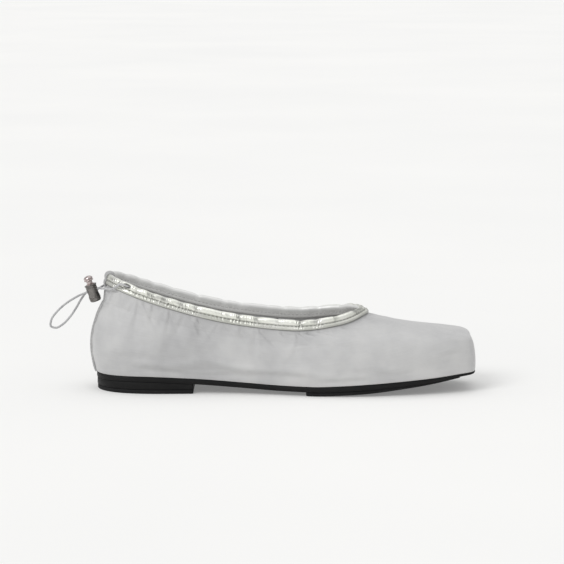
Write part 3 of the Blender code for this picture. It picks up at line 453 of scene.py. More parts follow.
def fold_ridges(across, down, folds):
    """Heights of gathered folds. Each is a crest with a sharper valley at its side, exp(-x^2) less
    0.8 exp(-(x - 1.3)^2 * 2), where x is the distance from its line over its width. The line leans as it runs
    down, the width grows with the distance down, and the height dies away as exp(-(down / reach)^1.4). The sum
    h is held in as 0.95 tanh(h / 0.95), so no fold reaches the lining."""
    total = np.zeros(across.shape)
    for place, width, reach, height, lean, round_trip in folds:
        wide = width * (1 + 0.9 * down / reach)
        away = across - place - lean * down
        away = (away + round_trip / 2) % round_trip - round_trip / 2
        x = away / wide
        near = np.abs(x) < 4
        shape = np.where(near, np.exp(-(x**2)) - 0.8 * np.exp(-2 * (x - 1.3) ** 2), 0)
        total += height * shape * np.exp(-((np.maximum(down, 0) / reach) ** 1.4))
    return 0.95 * np.tanh(total / 0.95)


def topline_length():
    fine = np.linspace(0, KNOTS[-1], 6001)
    return lengths_along(topline_at(fine)[0])[-1] / MM


ROUND_TOP = topline_length()  # length of the topline in millimetres


def topline_walk(at):
    """Distance walked along the topline from the heel's back to each station value, in millimetres."""
    fine = np.linspace(0, KNOTS[-1], 6001)
    return np.interp(np.mod(at, KNOTS[-1]), fine, lengths_along(topline_at(fine)[0])) / MM


def walk_at_x(x, medial=False):
    """Distance along the topline of the point at x on the outer or the inner side, in millimetres."""
    fine = np.linspace(0, KNOTS[-1], 6001)
    tops = topline_at(fine)[0]
    side = tops[:, 1] >= 0 if medial else tops[:, 1] <= 0
    found = np.where(side)[0][np.argmin(np.abs(tops[side, 0] - x))]
    return topline_walk(fine[found : found + 1])[0]


# Places along the topline where the elastic draws the casing in hardest, as x on the outer side.
OUTER_PINCHES = (
    -0.103, -0.092, -0.083, -0.0745, -0.0635, -0.0545, -0.040, -0.0275, -0.016, -0.003, 0.0115, 0.022, 0.034
)
THROAT_PINCHES = (0.0, -6.5, 5.5, 12.0, -13.5)  # millimetres along the topline from the throat's middle


def pinch_places():
    """Distances along the topline of every pinch with its strength, from the heel round to the heel."""
    random = np.random.default_rng(5)
    strengths = (0.7, 1.0, 0.8, 1.0, 1.25, 0.9, 0.45, 1.0, 0.9, 0.4, 1.2, 0.6, 0.7)
    found = [(walk_at_x(x), strength) for x, strength in zip(OUTER_PINCHES, strengths)]
    throat = topline_walk(np.array([THROAT_AT]))[0]
    found += [(throat + place, 1.15) for place in THROAT_PINCHES]
    place = throat + 24.0
    while place < ROUND_TOP - 12:
        found.append((place, random.uniform(0.5, 1.2)))
        place += random.uniform(9, 18)
    found += [(-4.5, 0.7), (6.0, 0.6), (13.5, 0.8)]
    return found


PINCHES = pinch_places()


def cloth_folds():
    """Folds that run down the cloth from the casing: a fan of short ones at each pinch and a few long ones."""
    random = np.random.default_rng(11)
    folds = []
    for place, strength in PINCHES:
        for lean in (-0.5, 0.1, 0.6):
            folds.append(
                (
                    place + 2.5 * lean + random.normal(0, 1.5),
                    random.uniform(1.0, 1.9),
                    random.uniform(8, 17) * (0.6 + 0.5 * strength),
                    random.uniform(0.28, 0.62) * strength,
                    lean + random.uniform(-0.35, 0.35),
                    ROUND_TOP,
                )
            )
        folds.append(
            (
                place + random.normal(0, 2.0),
                random.uniform(2.6, 4.4),
                random.uniform(20, 38),
                random.uniform(0.38, 0.72) * strength,
                random.uniform(-0.8, 0.8),
                ROUND_TOP,
            )
        )
    return folds


# ---- the cloth upper ------------------------------------------------------------------------------------
UPPER_RIBS, UPPER_ROWS = 860, 96


def upper_places(count):
    """Station values evenly spread over the upper: half way between even at the feather edge and the topline."""
    foot = even_places(count, lambda at: feather_at(at)[0])
    top = even_places(count, lambda at: topline_at(at)[0])
    return 0.5 * foot + 0.5 * top


def straight_rows(at, depths):
    """Rows at depths below the topline on the wall's outer face, under the casing."""
    crest, _, upward = topline_at(at)
    return crest[:, None] - upward[:, None] * np.asarray(depths)[None, :, None]


def upper_height(at, net):
    """Height of the cloth above the plain last, in metres: folds from the casing, long soft creases low on
    the sides, tension lines at the toe's corners, and a slow uneven swell."""
    walked = topline_walk(at)[:, None]
    up = np.stack([lengths_along(rib) for rib in net]) / MM
    down = up[:, -1:] - up
    x, y, z = (net[:, :, k] / MM for k in range(3))
    lateral = y < 0
    folds = fold_ridges(np.broadcast_to(walked, down.shape), down, cloth_folds())
    lasted = curve_through((0, 0.42, 0.62, 0.78, 1.0), (1, 1, 0.6, 0.12, 0.0), along_sole(net[:, :, 0]))
    folds *= np.clip(lasted, 0, 1)
    foot = feather_height(net[:, :, 0]) / MM
    rise = z - foot
    creases = np.zeros(x.shape)
    for low, high, level, slope, height, wide in LOW_CREASES:
        span = np.clip((x - low) / 12, 0, 1) * np.clip((high - x) / 12, 0, 1)
        span = span * span * (3 - 2 * span)
        line = level + slope * (x - low) + 0.7 * np.sin(x / 9.0 + low)
        t = (rise - line) / wide
        creases += span * height * (np.exp(-(t**2)) - 0.7 * np.exp(-((t + 1.5) ** 2) * 1.5))
    swell = 0.22 * soft_noise(x + 0.6 * y, z * 1.3 + 0.4 * y, 3, 3, (46.0, 26.0))
    fine = 0.035 * soft_noise(x + y, z, 8, 2, (9.0, 6.0))
    edge = np.clip(rise / 4.0, 0, 1) * np.clip(down / 2.5, 0, 1)
    return (folds * np.clip(rise / 6, 0, 1) + (creases * np.where(lateral, 1, 0.8) + swell + fine) * edge) * MM


LOW_CREASES = (
    # from x, to x, level above the feather edge, slope, height, width, in millimetres
    (-100, -12, 9.5, -0.010, 0.85, 2.8),
    (-62, 40, 13.0, -0.055, 0.75, 2.6),
    (-84, -30, 4.6, 0.030, 0.55, 2.0),
    (8, 62, 5.2, 0.010, 0.55, 2.2),
    (40, 84, 11.0, -0.06, 0.45, 2.6),
    (96, 120, 16.0, 0.02, 0.35, 2.0),
    (-112, -78, 16.0, 0.05, 0.45, 3.0),
)


def make_upper(finishes):
    """Cloth from its lasting margin under the insole, round the feather edge and up into the casing."""
    at = upper_places(UPPER_RIBS)
    lines = rib_lines(at)
    net = spread(lines, np.linspace(0, 1, UPPER_ROWS))
    net = net + outward_of(net) * upper_height(at, net)[:, :, None]
    foot, outward = feather_at(at)
    spine = np.clip(foot[:, 0], HEEL_END_X + 0.030, HEEL_END_X + SOLE_LENGTH - 0.026)
    inward = np.column_stack([spine - foot[:, 0], -foot[:, 1], np.zeros(len(at))])
    inward /= np.linalg.norm(inward, axis=1)[:, None]
    margin = [foot + inward * reach for reach in (0.009, 0.004, 0.0006)]
    margin = np.stack(margin, axis=1)
    margin[:, :, 2] = feather_height(margin[:, :, 0])
    under = straight_rows(at, (0.0072, 0.0058, 0.0044))
    net = np.concatenate([margin, net, under], axis=1)
    obj = cloth_grid("upper_cloth", net, finishes["satin"])
    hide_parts("upper_fabric")
    return obj


# ---- the casing round the topline -----------------------------------------------------------------------
CASING_RIBS = 1900
# The casing's section, as distance out from its middle and depth below the topline in millimetres: its outer
# half has a roll, a stitched groove and a lower band, and its inner half is nearly plain.
CASING_OUTER = np.array(
    [
        (0.0, 0.0),
        (0.85, 0.14),
        (1.55, 0.58),
        (2.05, 1.30),
        (2.22, 2.10),
        (2.08, 2.95),
        (1.70, 3.60),
        (1.36, 4.05),
        (1.32, 4.35),
        (1.55, 4.75),
        (1.86, 5.30),
        (2.02, 6.00),
        (1.96, 6.65),
        (1.70, 7.10),
        (1.35, 7.30),
        (1.10, 7.20),
    ]
)
CASING_INNER = np.array(
    [
        (-0.85, 0.14),
        (-1.55, 0.58),
        (-1.98, 1.30),
        (-2.12, 2.10),
        (-2.08, 3.00),
        (-1.98, 4.00),
        (-1.90, 4.40),
        (-1.92, 5.20),
        (-1.90, 6.20),
        (-1.70, 6.95),
        (-1.35, 7.30),
        (-1.10, 7.20),
    ]
)


def casing_section(count):
    """The whole section from its outer lower edge over the top to the inner one, as (out, depth, share)."""
    path = np.vstack([CASING_OUTER[::-1], CASING_INNER])
    walked = lengths_along(path)
    at = np.linspace(0, walked[-1], count)
    return np.stack([curve_through(walked, path[:, k], at) for k in range(2)], axis=1), at / walked[-1]


def casing_height(walked, section, share):
    """Height of the silver leather above its plain section, in millimetres, how far the top dips, and how much
    painted shade it takes from 0 to 1. At each pinch the roll draws in and folds run across it, sharpest in the
    groove.
    Between pinches it puffs up as a long pillow."""
    out, depth = section[None, :, 0], section[None, :, 1]
    roll = np.exp(-(((depth - 1.6) / 1.7) ** 2))
    band = np.exp(-(((depth - 5.9) / 0.9) ** 2))
    groove = np.exp(-(((depth - 4.2) / 0.9) ** 2))
    random = np.random.default_rng(21)
    height = np.zeros((len(walked), len(share)))
    dip = np.zeros(len(walked))
    for place, strength in PINCHES:
        wide = random.uniform(2.0, 3.4)
        away = (walked - place + ROUND_TOP / 2) % ROUND_TOP - ROUND_TOP / 2
        near = np.exp(-((away / wide) ** 2))
        wider = np.exp(-((away / (2.1 * wide)) ** 2))
        dip += 0.38 * strength * near
        height -= (0.62 * strength * near)[:, None] * roll
        height += (0.16 * strength * wider)[:, None] * band
        for _ in range(5):
            offset, lean = random.normal(0, 2.6), random.uniform(-0.9, 0.9)
            narrow, tall = random.uniform(0.32, 0.62), random.uniform(0.16, 0.40) * strength
            centre = random.uniform(-0.2, 0.2)
            x = (away[:, None] - offset - lean * (share[None] - 0.5 - centre) * 7.0) / narrow
            fold = np.exp(-(x**2)) - 0.9 * np.exp(-2.2 * (x - 1.25) ** 2)
            height += tall * fold * (0.55 * roll + 0.75 * groove + 0.55 * band)
    puff = 0.30 * soft_noise(walked[:, None], share[None] * 3.0, 31, 2, (26.0, 12.0))
    crease = 0.11 * soft_noise(walked[:, None], share[None] * 5.0, 37, 3, (5.2, 9.0))
    height += puff * roll + crease * (roll + band)
    outer = np.clip((out + 0.6) / 1.2, 0, 1)
    height *= 0.35 + 0.65 * outer
    # Painted shade, kept to the outer half: darker in the stitched groove, along the lower edge, where the pinches
    # press the roll in, and over the whole lower band.
    hollow = 0.75 * np.exp(-(((depth - 4.15) / 0.62) ** 2)) + 0.8 * np.clip((depth - 6.5) / 0.8, 0, 1)
    hollow = hollow + np.clip(-height - 0.06, 0, 0.5) * 1.6
    hollow = hollow + 0.42 * np.clip((depth - 4.6) / 0.6, 0, 1)
    # A darker line just inside the crest on the inner half, added to the same value.
    rim_line = 0.5 * np.exp(-(((out + 0.75) / 0.45) ** 2)) * (depth < 2)
    return height, dip, np.clip(hollow * outer + rim_line, 0, 1)


def casing_surface(at, section, share):
    """Points of the casing: the section carried round the topline, each moved out by its height. With the
    section's path as (out, depth), its outward direction is (-d depth, -d out) as (out, up)."""
    crest, outward, upward = topline_at(at)
    walked = topline_walk(at)
    height, dip, hollow = casing_height(walked, section, share)
    slope = np.gradient(section, axis=0)
    normal = -slope[:, ::-1] / np.linalg.norm(slope, axis=1)[:, None]
    out = section[None, :, 0] + normal[None, :, 0] * height
    down = section[None, :, 1] - normal[None, :, 1] * height
    down = down + dip[:, None] * np.exp(-((section[None, :, 1] / 3.2) ** 2))
    middle = crest - outward * (WALL / 2)
    points = middle[:, None] + outward[:, None] * out[:, :, None] * MM
    return points - upward[:, None] * down[:, :, None] * MM, hollow


def exit_frames():
    """Middle, lengthwise, upward and outward directions of the two slots the elastic comes out of."""
    frames = []
    for side in (-1, 1):
        start, out, run = cord_exit(side)
        up = np.cross(out, run)
        up *= np.sign(up[2]) / np.linalg.norm(up)
        frames.append((start + run * 4.3 * MM + out * 2.1 * MM, run, up, out))
    return frames


def beyond_slots(points):
    """Which points lie outside both exit slots, ovals 5.2 by 2.4 mm."""
    clear = np.ones(len(points), bool)
    for middle, run, up, out in exit_frames():
        away = points - middle
        oval = (away @ run / (2.6 * MM)) ** 2 + (away @ up / (1.2 * MM)) ** 2
        clear &= (oval > 1) | (np.abs(away @ out) > 1.6 * MM)
    return clear


def make_exit_rims(finishes):
    """A thread rim round each exit slot, an oval bead laid on the casing."""
    for name, (middle, run, up, out) in zip(("outer", "inner"), exit_frames()):
        turn = np.linspace(0, TAU, 61)[:, None]
        sunk = 0.25 * MM * np.sin(turn) ** 2
        path = middle + run * np.cos(turn) * 2.7 * MM + up * np.sin(turn) * 1.3 * MM
        path = path + out * (0.05 * MM - sunk)
        rim = tube(f"exit_slot_rim_{name}", path, 0.34 * MM, finishes["thread"], sides=10, wobble=whipping)


def whipping(walked, turn):
    """Thread wound round a bead, as ridges 0.05 mm tall every 0.55 mm."""
    return 0.05 * MM * np.cos(walked * TAU / 0.00055 + turn)


def make_casing(finishes):
    at = even_places(CASING_RIBS, lambda places: topline_at(places)[0])
    section, share = casing_section(46)
    points, hollow = casing_surface(at, section, share)
    out = outward_of(points)
    across = lengths_along(np.vstack([points[:, 10], points[:1, 10]])) / MM
    faces, flat = grid_faces(*points.shape[:2], closed_rows=True), points.reshape(-1, 3)
    whole = beyond_slots(flat[faces].mean(axis=1))
    uv = grid_uv(across, share * 22.0).reshape(-1, 4, 2)
    obj = piece_from("topline_casing", flat, faces[whole], finishes["silver"], uv=uv[whole])
    make_exit_rims(finishes)
    inside = np.clip((0.5 - section[:, 0]) / 1.0, 0, 1)
    # hollow carries the casing's painted shade to its finish, and inside marks its inner half.
    for name, values in (("hollow", hollow), ("inside", np.broadcast_to(inside, hollow.shape))):
        layer = obj.data.attributes.new(name, "FLOAT", "POINT")
        layer.data.foreach_set("value", np.ascontiguousarray(values, np.float32).ravel())
    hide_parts("topline_binding")
    for name, side in (("casing_stitches_outer", 1), ("casing_stitches_inner", -1)):
        column = int(np.argmin(np.abs(section[:, 1] - 4.25) + (section[:, 0] * side < 0) * 99))
        line, face = (np.vstack([grid[:, column], grid[:1, column]]) for grid in (points, out))
        # The outer row takes the dark thread, painted shade in the groove; the inner row takes the pale thread.
        stitches = stitch_row(name, line, face, finishes["thread" if side > 0 else "thread_pale"])


# ---- back strip, lining and sock ------------------------------------------------------------------------
def make_back_strip(finishes):
    """The strip over the back seam: the net about the heel's back and on over the casing, raised by
    0.95 (1 - e^10) + 0.1 mm, where e is 0 on its middle line and 1 at its edges."""
    half = 5.5 * MM
    at = np.linspace(-half, half, 41)
    net = spread(rib_lines(np.mod(at, KNOTS[-1])), np.linspace(0.012, 1, 130))
    over, _ = casing_surface(np.mod(at, KNOTS[-1]), *casing_section(46))
    over = over[:, 2:34] + outward_of(over, closed=False)[:, 2:34] * 0.12 * MM
    climbing = net[:, -1:] + (over[:, :1] - net[:, -1:]) * np.linspace(0, 1, 5)[None, 1:-1, None]
    net = np.concatenate([net, climbing, over], axis=1)
    out = outward_of(net, closed=False)
    edge = np.abs(at) / half
    raised = 0.95 * (1 - edge**10) + 0.10
    up = lengths_along(net[20]) / MM
    ripple = 0.10 * soft_noise(np.linspace(0, 12, 41)[:, None], up[None], 41, 2, (14.0, 18.0))
    channel = -0.22 * np.exp(-(((edge - 0.80) / 0.07) ** 2))
    net = net + out * ((raised + channel)[:, None] + ripple)[:, :, None] * MM
    across = np.linspace(0, 11, 41)
    # The strip takes the satin darkened to 0.74 as painted shade, for a dark line along the heel's back.
    obj = cloth_grid("back_strip", net, finishes["satin_strip_painted_shade"], closed=False, uv=grid_uv(across, up))
    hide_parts("back_stay")
    stitches = {"pitch": 2.4 * MM, "length": 1.7 * MM, "thread": 0.16 * MM}
    for name, column in (("back_strip_stitches_outer", 4), ("back_strip_stitches_inner", 36)):
        row = stitch_row(name, net[column, 2:128], out[column, 2:128], finishes["thread_grey"], **stitches)


def lining_thickness(at, shares):
    """Depth of the lining's face inside the cloth, in metres: more over the heel counter and the toe puff."""
    foot, _ = feather_at(at)
    share = along_sole(foot[:, 0])
    heel = np.clip((0.30 - share) / 0.05, 0, 1)[:, None] * np.clip((0.72 - shares) / 0.15, 0, 1)[None]
    toe = np.clip((share - 0.83) / 0.05, 0, 1)[:, None] * np.clip((0.62 - shares) / 0.15, 0, 1)[None]
    return FABRIC + GAP + (STIFFENER + GAP) * np.maximum(heel, toe)


def make_lining(finishes):
    """The lining's inner face, in two pieces that meet at a stitched seam on each side. It creases softly where the
    casing gathers it."""
    at = upper_places(620)
    shares = np.linspace(0.02, 1, 72)
    net = spread(rib_lines(at), shares)
    out = outward_of(net)
    up = np.stack([lengths_along(rib) for rib in net]) / MM
    down = up[:, -1:] - up
    walked = topline_walk(at)[:, None]
    folds = fold_ridges(np.broadcast_to(walked, down.shape), down, cloth_folds()) * 0.8
    swell = 0.16 * soft_noise(net[:, :, 0] / MM, net[:, :, 2] / MM, 51, 3, (34.0, 20.0))
    inside = lining_thickness(at, shares) + LINING
    net = net - out * (inside[:, :, None] + (folds * 0.6 + swell)[:, :, None] * MM * -0.7)
    crest, outward, upward = topline_at(at)
    under = [crest - outward * WALL - upward * depth for depth in (0.0072, 0.0058, 0.0044)]
    net = np.concatenate([net, np.stack(under, axis=1)], axis=1)
    seam = (SEAM_AT, KNOTS[-1] - SEAM_AT)
    after, before = at >= seam[0], at <= seam[1]
    vamp, heel = np.where(after & before)[0], np.where(~(after & before))[0]
    heel = np.concatenate([heel[heel > len(at) // 2], heel[heel <= len(at) // 2]])
    for name, ribs, node, finish in (
        ("vamp_lining_face", np.concatenate([vamp[:1] - 1, vamp, vamp[-1:] + 1]), "vamp_lining", "lining"),
        ("heel_lining_face", heel, "quarter_lining", "heel_lining"),
    ):
        part = net[ribs][:, ::-1]
        obj = cloth_grid(name, part, finishes[finish], closed=False)
        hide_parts(node)
    for side, place in (("outer", seam[0]), ("inner", seam[1])):
        rib = int(np.argmin(np.abs(at - place)))
        for shift in (-3, 3):
            line, face = net[rib + shift, 4:70], -out[rib + shift, 4:70]
            row = stitch_row(
                f"lining_seam_{side}_{'back' if shift < 0 else 'front'}",
                line,
                face,
                finishes["thread_grey"],
                pitch=2.8 * MM,
                length=1.9 * MM,
                thread=0.17 * MM,
            )


def outline(inset, count=720):
    """The feather edge seen from above, moved inwards by inset, evenly spaced."""
    at = even_places(count, lambda places: feather_at(places)[0])
    foot, outward = feather_at(at)
    return (foot - outward * inset)[:, :2]


def trimmed(edge, start=None, end=None, corner=2.2 * MM, count=720):
    """An outline cut off square at x = start and x = end, with its corners rounded by averaging. The straight
    cuts are the chords that close the points left between them."""
    low = -1.0 if start is None else start
    high = 1.0 if end is None else end
    cut = edge[(edge[:, 0] > low) & (edge[:, 0] < high)]
    closed = np.vstack([cut, cut[:1]])
    walked = lengths_along(closed)
    even = np.linspace(0, walked[-1], count, endpoint=False)
    cut = np.column_stack([np.interp(even, walked, closed[:, k]) for k in range(2)])
    reach = max(int(corner / (walked[-1] / count)), 1)
    weight = np.hanning(2 * reach + 3)[1:-1]
    weight /= weight.sum()
    spread_out = np.stack([np.roll(cut, k - reach, axis=0) * weight[k] for k in range(2 * reach + 1)])
    return spread_out.sum(axis=0)


def plate(name, edge, top, bottom, finish, rim=0.5 * MM, body="shoe", under=None, over=None, rows=44, top_rows=44):
    """A closed flat piece with a rounded rim. For each point of its edge a line runs from the middle line out
    over the top, round the rim as a quarter circle above and below, and back under. under and over are
    heights in metres added below and above, as functions of the distance in from the edge and of x and y."""
    along, stop_short = edge[:, 0], 0.018
    middle = np.column_stack([np.clip(along, along.min() + stop_short, along.max() - stop_short), 0 * edge[:, 1]])
    away = np.linalg.norm(edge - middle, axis=1)
    inward = (middle - edge) / away[:, None]
    reach = away[:, None] - rim
    depth, top_depth = (rim + reach * np.linspace(0, 1, number)[None] for number in (rows, top_rows))
    turn = np.linspace(0, math.pi / 2, 6)[:-1]
    waves = (np.sin(turn), np.cos(turn))
    rim_in, rim_drop = (np.broadcast_to(rim * (1 - wave), (len(edge), 5)) for wave in waves)

    def line(insets, drops, height, sign, relief):
        spots = edge[:, None] + inward[:, None] * insets[:, :, None]
        level = height(spots[:, :, 0]) - sign * drops
        if relief is not None:
            level = level + sign * relief(insets, spots[:, :, 0], spots[:, :, 1])
        return np.concatenate([spots, level[:, :, None]], axis=2)

    above = line(top_depth[:, ::-1], 0 * top_depth, top, 1, over)
    above_rim = line(rim_in, rim_drop, top, 1, None)
    below_rim = line(rim_in[:, ::-1], rim_drop[:, ::-1], bottom, -1, None)
    below = line(depth, 0 * depth, bottom, -1, under)
    grid = np.concatenate([above, above_rim[:, 1:], below_rim[:, :-1], below], axis=1)
    faces = grid_faces(len(edge), grid.shape[1], closed_rows=True)
    return piece_from(name, grid.reshape(-1, 3), faces[:, ::-1], finish, body)


def sole_top(x):
    return feather_height(x) - GAP


def sole_bottom(x):
    shares = (0, 0.70, 0.85, 0.95, 1.0)
    thick = (OUTSOLE, OUTSOLE, 0.8 * OUTSOLE, 0.5 * OUTSOLE, OUTSOLE_AT_TOE)
    return sole_top(x) - curve_through(shares, thick, along_sole(x))


PAD_ENDS = (HEEL_END_X + GRIP_PAD_START * SOLE_LENGTH, HEEL_END_X + GRIP_PAD_END * SOLE_LENGTH)


def pad_bottom(x):
    shares = [GRIP_PAD_START + (GRIP_PAD_END - GRIP_PAD_START) * part for part in (0, 0.3, 0.7, 1.0)]
    fade = GRIP_PAD_AT_TOE + 0.5 * (GRIP_PAD - GRIP_PAD_AT_TOE)
    depths = (GRIP_PAD + GAP, GRIP_PAD + GAP, fade, 0.7 * MM)
    return sole_bottom(x) - 0.2 * GAP - curve_through(shares, depths, along_sole(x))


def tread(insets, x, y):
    """Grip pattern: rows of small rounded lozenges pressed 0.35 mm deep, fading out 4 mm from the edge."""
    u, v = (x + y * 0.6) / 0.0042, (x - y * 0.6) / 0.0042
    pattern = np.sin(math.pi * u) ** 2 * np.sin(math.pi * v) ** 2
    return -0.35 * MM * (1 - np.clip(pattern * 2.2, 0, 1)) * np.clip((insets - 0.004) / 0.001, 0, 1)


def lift_tread(insets, x, y):
    """The same pattern under the heel, with a round pocket 0.7 mm deep about each nail's head."""
    relief = tread(insets, x, y)
    for ahead, across in ((9.0, 0.0), (20.0, -15.0), (20.0, 15.0)):
        away = np.hypot(x - HEEL_END_X - ahead * MM, y - across * MM)
        relief = np.where(away < 1.7 * MM, -0.7 * MM, relief)
    return relief


def make_sole(finishes):
    heel_breast = HEEL_END_X + HEEL_LENGTH
    block_bottom = TOP_LIFT + GAP
    edge = outline(0.0)
    plates = [
        plate("outsole_finished", edge, sole_top, sole_bottom, finishes["sole"], rim=0.7 * MM),
        plate(
            "grip_pad_finished",
            trimmed(outline(1.2 * MM), *PAD_ENDS),
            lambda x: sole_bottom(x) - GAP * 0.2,
            pad_bottom,
            finishes["rubber"],
            rim=0.3 * MM,
            under=tread,
            rows=90,
            top_rows=12,
        ),
        plate(
            "heel_block_finished",
            trimmed(outline(0.3 * MM), end=heel_breast),
            lambda x: sole_bottom(x) - GAP * 0.2,
            lambda x: block_bottom + 0 * x - GAP * 0.3,
            finishes["sole"],
            rim=0.25 * MM,
        ),
        plate(
            "heel_top_lift_finished",
            trimmed(outline(0.5 * MM), end=heel_breast + 0.2 * MM),
            lambda x: TOP_LIFT + 0 * x,
            lambda x: 0.0 * x,
            finishes["rubber"],
            rim=0.45 * MM,
            under=lift_tread,
            rows=80,
            top_rows=12,
        ),
    ]
    for obj, node, slot in zip(
        plates,
        ("outsole", "forepart_grip_pad", "heel_block", "heel_top_lift"),
        ("black_sole", "black_rubber", "black_heel", "black_rubber"),
    ):
        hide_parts(node)


BOARD_THICK, FOAM_THICK, SOCK_THICK = 0.002, 0.002, 0.0009


def sock_top(x):
    return feather_height(x) + FABRIC + GAP + BOARD_THICK + GAP + FOAM_THICK + GAP + SOCK_THICK


def make_sock(finishes):
    """The sock: a thin leather sheet, a little crowned by the foam under it, with a stitched edge line."""
    inset = FABRIC + STIFFENER + LINING + 2 * GAP + 0.1 * MM

    def crown(insets, x, y):
        return 0.5 * MM * (1 - np.exp(-insets / 0.008)) + 0.12 * MM * soft_noise(x / MM, y / MM, 61, 3, (40.0, 30.0))

    edge = outline(inset)

    def underside(x):
        return sock_top(x) - SOCK_THICK

    obj = plate("sock_leather", edge, sock_top, underside, finishes["sock"], rim=0.4 * MM, over=crown)
    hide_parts("sock_lining")
    line = outline(inset + 3.0 * MM, 900)
    line = np.vstack([line, line[:1]])
    height = sock_top(line[:, 0]) + 0.5 * MM * (1 - math.exp(-3.0 / 8)) + 0.05 * MM
    path = np.column_stack([line, height])
    stitches = {"pitch": 3.0 * MM, "length": 2.1 * MM, "thread": 0.18 * MM}
    upwards = np.tile((0.0, 0.0, 1.0), (len(path), 1))
    row = stitch_row("sock_stitches", path, upwards, finishes["thread_grey"], **stitches)


# ---- cord lock ------------------------------------------------------------------------------------------
LOCK_CENTRE, LOCK_TILT = Vector((HEEL_END_X - 0.0025, 0.0, 0.063)), math.radians(19)
LOCK_AXIS = Vector((-math.sin(LOCK_TILT), 0, math.cos(LOCK_TILT)))
HOLE_AXIS = Vector((math.cos(LOCK_TILT), 0, math.sin(LOCK_TILT)))
LOCK_PLACE = Matrix((HOLE_AXIS, Vector((0, 1, 0)), LOCK_AXIS)).transposed().to_4x4()
LOCK_PLACE = Matrix.Translation(LOCK_CENTRE) @ LOCK_PLACE
PLUNGER_TRAVEL = 2.2 * MM


def turned_piece(name, profile, finish, body, sides=72):
    """A turned piece: (radius, height) points in millimetres, from the bottom's middle to the top's middle or
    back down inside to the bottom's middle, carried round the lock's axis."""
    profile = np.array(profile, float) * MM
    turn = np.linspace(0, TAU, sides, endpoint=False)
    ring = np.stack([np.cos(turn), np.sin(turn)], axis=1)
    inner = profile[1:-1]
    grid = np.concatenate(
        [inner[:, None, :1] * ring[None], np.broadcast_to(inner[:, None, 1:], (len(inner), sides, 1))], axis=2
    )
    points = np.concatenate([grid.reshape(-1, 3), [(0, 0, profile[0, 1])], [(0, 0, profile[-1, 1])]])
    faces = grid_faces(len(inner), sides, closed_columns=True)[:, ::-1].tolist()
    last = len(inner) * sides
    faces += [(last, (k + 1) % sides, k) for k in range(sides)]
    faces += [(last + 1, last - sides + k, last - sides + (k + 1) % sides) for k in range(sides)]
    mesh = bpy.data.meshes.new(name)
    mesh.from_pydata(points.tolist(), [], faces)
    return add_piece(name, mesh, finish, body)


def rounded_bar(width, low, high, reach, corner):
    """A long bar along the hole axis whose section is a rounded rectangle, in the lock's own frame."""
    turn = np.linspace(0, TAU, 32, endpoint=False)
    across = np.sign(np.cos(turn)) * (width / 2 - corner) + corner * np.cos(turn)
    up = np.sign(np.sin(turn)) * ((high - low) / 2 - corner) + corner * np.sin(turn) + (low + high) / 2
    ends = [np.column_stack([np.full(32, end), across, up]) for end in (-reach, reach)]
    faces = grid_faces(2, 32, closed_columns=True).tolist()
    faces += [list(range(32))[::-1], list(range(32, 64))]
    mesh = bpy.data.meshes.new("bar")
    mesh.from_pydata(np.concatenate(ends).tolist(), [], [face[::-1] for face in faces])
    bar = bpy.data.objects.new("bar", mesh)
    bpy.context.scene.collection.objects.link(bar)
    return bar


def cut_through(obj, bar):
    """obj with the bar's shape cut out of it and its edges kept crisp, then put in its place."""
    tool = obj.modifiers.new("hole", "BOOLEAN")
    tool.operation, tool.object, tool.solver = "DIFFERENCE", bar, "EXACT"
    bpy.context.view_layer.update()
    cut = bpy.data.meshes.new_from_object(obj.evaluated_get(bpy.context.evaluated_depsgraph_get()))
    obj.modifiers.clear()
    obj.data = cut
    bpy.data.objects.remove(bar)
    return obj


def settle(obj):
    """Moves a lock piece's mesh into place and shades it smooth between its crisp edges."""
    obj.data.transform(LOCK_PLACE)
    obj.data.shade_smooth()
    obj.data.set_sharp_from_angle(angle=math.radians(35))


def arc(centre, radius, start, stop, count):
    """Points of a circular arc in (radius, height), angles in degrees from outwards to upwards."""
    turn = np.radians(np.linspace(start, stop, count))
    return [(centre[0] + radius * math.cos(a), centre[1] + radius * math.sin(a)) for a in turn]


def barrel_profile():
    """A cup with a domed foot, a turned bead and two grooves, and a rolled rim."""
    outside = [(0, -7.4), (1.0, -7.4)] + arc((2.3, -6.0), 1.4, -90, 0, 9)[1:]
    outside += [(3.7, -5.6), (3.7, -4.9)] + arc((3.7, -4.55), 0.28, -90, 90, 7) + [(3.7, -4.1)]
    outside += [(3.7, 1.9), (3.55, 2.05), (3.55, 2.35), (3.7, 2.5), (3.7, 3.2)]
    outside += arc((3.62, 3.75), 0.42, -60, 110, 10)
    return outside + [(3.2, 4.2), (2.95, 4.0), (2.95, -6.3), (2.7, -6.5), (0, -6.5)]


def plunger_profile():
    """A plain shaft, a narrow neck ring, and a domed button with a turned groove."""
    shaft = [(0, -2.2), (2.4, -2.2), (2.7, -1.9), (2.7, 4.5), (1.95, 4.9), (1.95, 6.3), (2.8, 6.7)]
    button = arc((2.8, 7.05), 0.35, -80, 60, 7) + [(2.75, 7.5), (2.72, 7.75)]
    turns = np.linspace(0.05, 1.45, 14)
    dome = [(2.9, 7.85), (3.02, 8.05)] + [(3.02 * math.cos(a), 8.1 + 1.9 * math.sin(a)) for a in turns]
    return shaft + button + dome + [(0, 10.0)]


def make_lock(finishes):
    edge = CORD_DIAMETER / 2 + GAP
    width = CORD_SPACING + CORD_DIAMETER + 2 * GAP
    barrel = turned_piece("cord_lock_barrel", barrel_profile(), finishes["nickel"], "cord_lock")
    cut_through(barrel, rounded_bar(width, -edge - PLUNGER_TRAVEL, edge, 0.02, 0.9 * MM))
    plunger = turned_piece("cord_lock_plunger", plunger_profile(), finishes["nickel_dark"], "plunger")
    cut_through(plunger, rounded_bar(width, -edge, edge + PLUNGER_TRAVEL, 0.02, 0.9 * MM))
    for obj, node in ((barrel, "lock_barrel"), (plunger, "lock_plunger")):
        settle(obj)
        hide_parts(node)


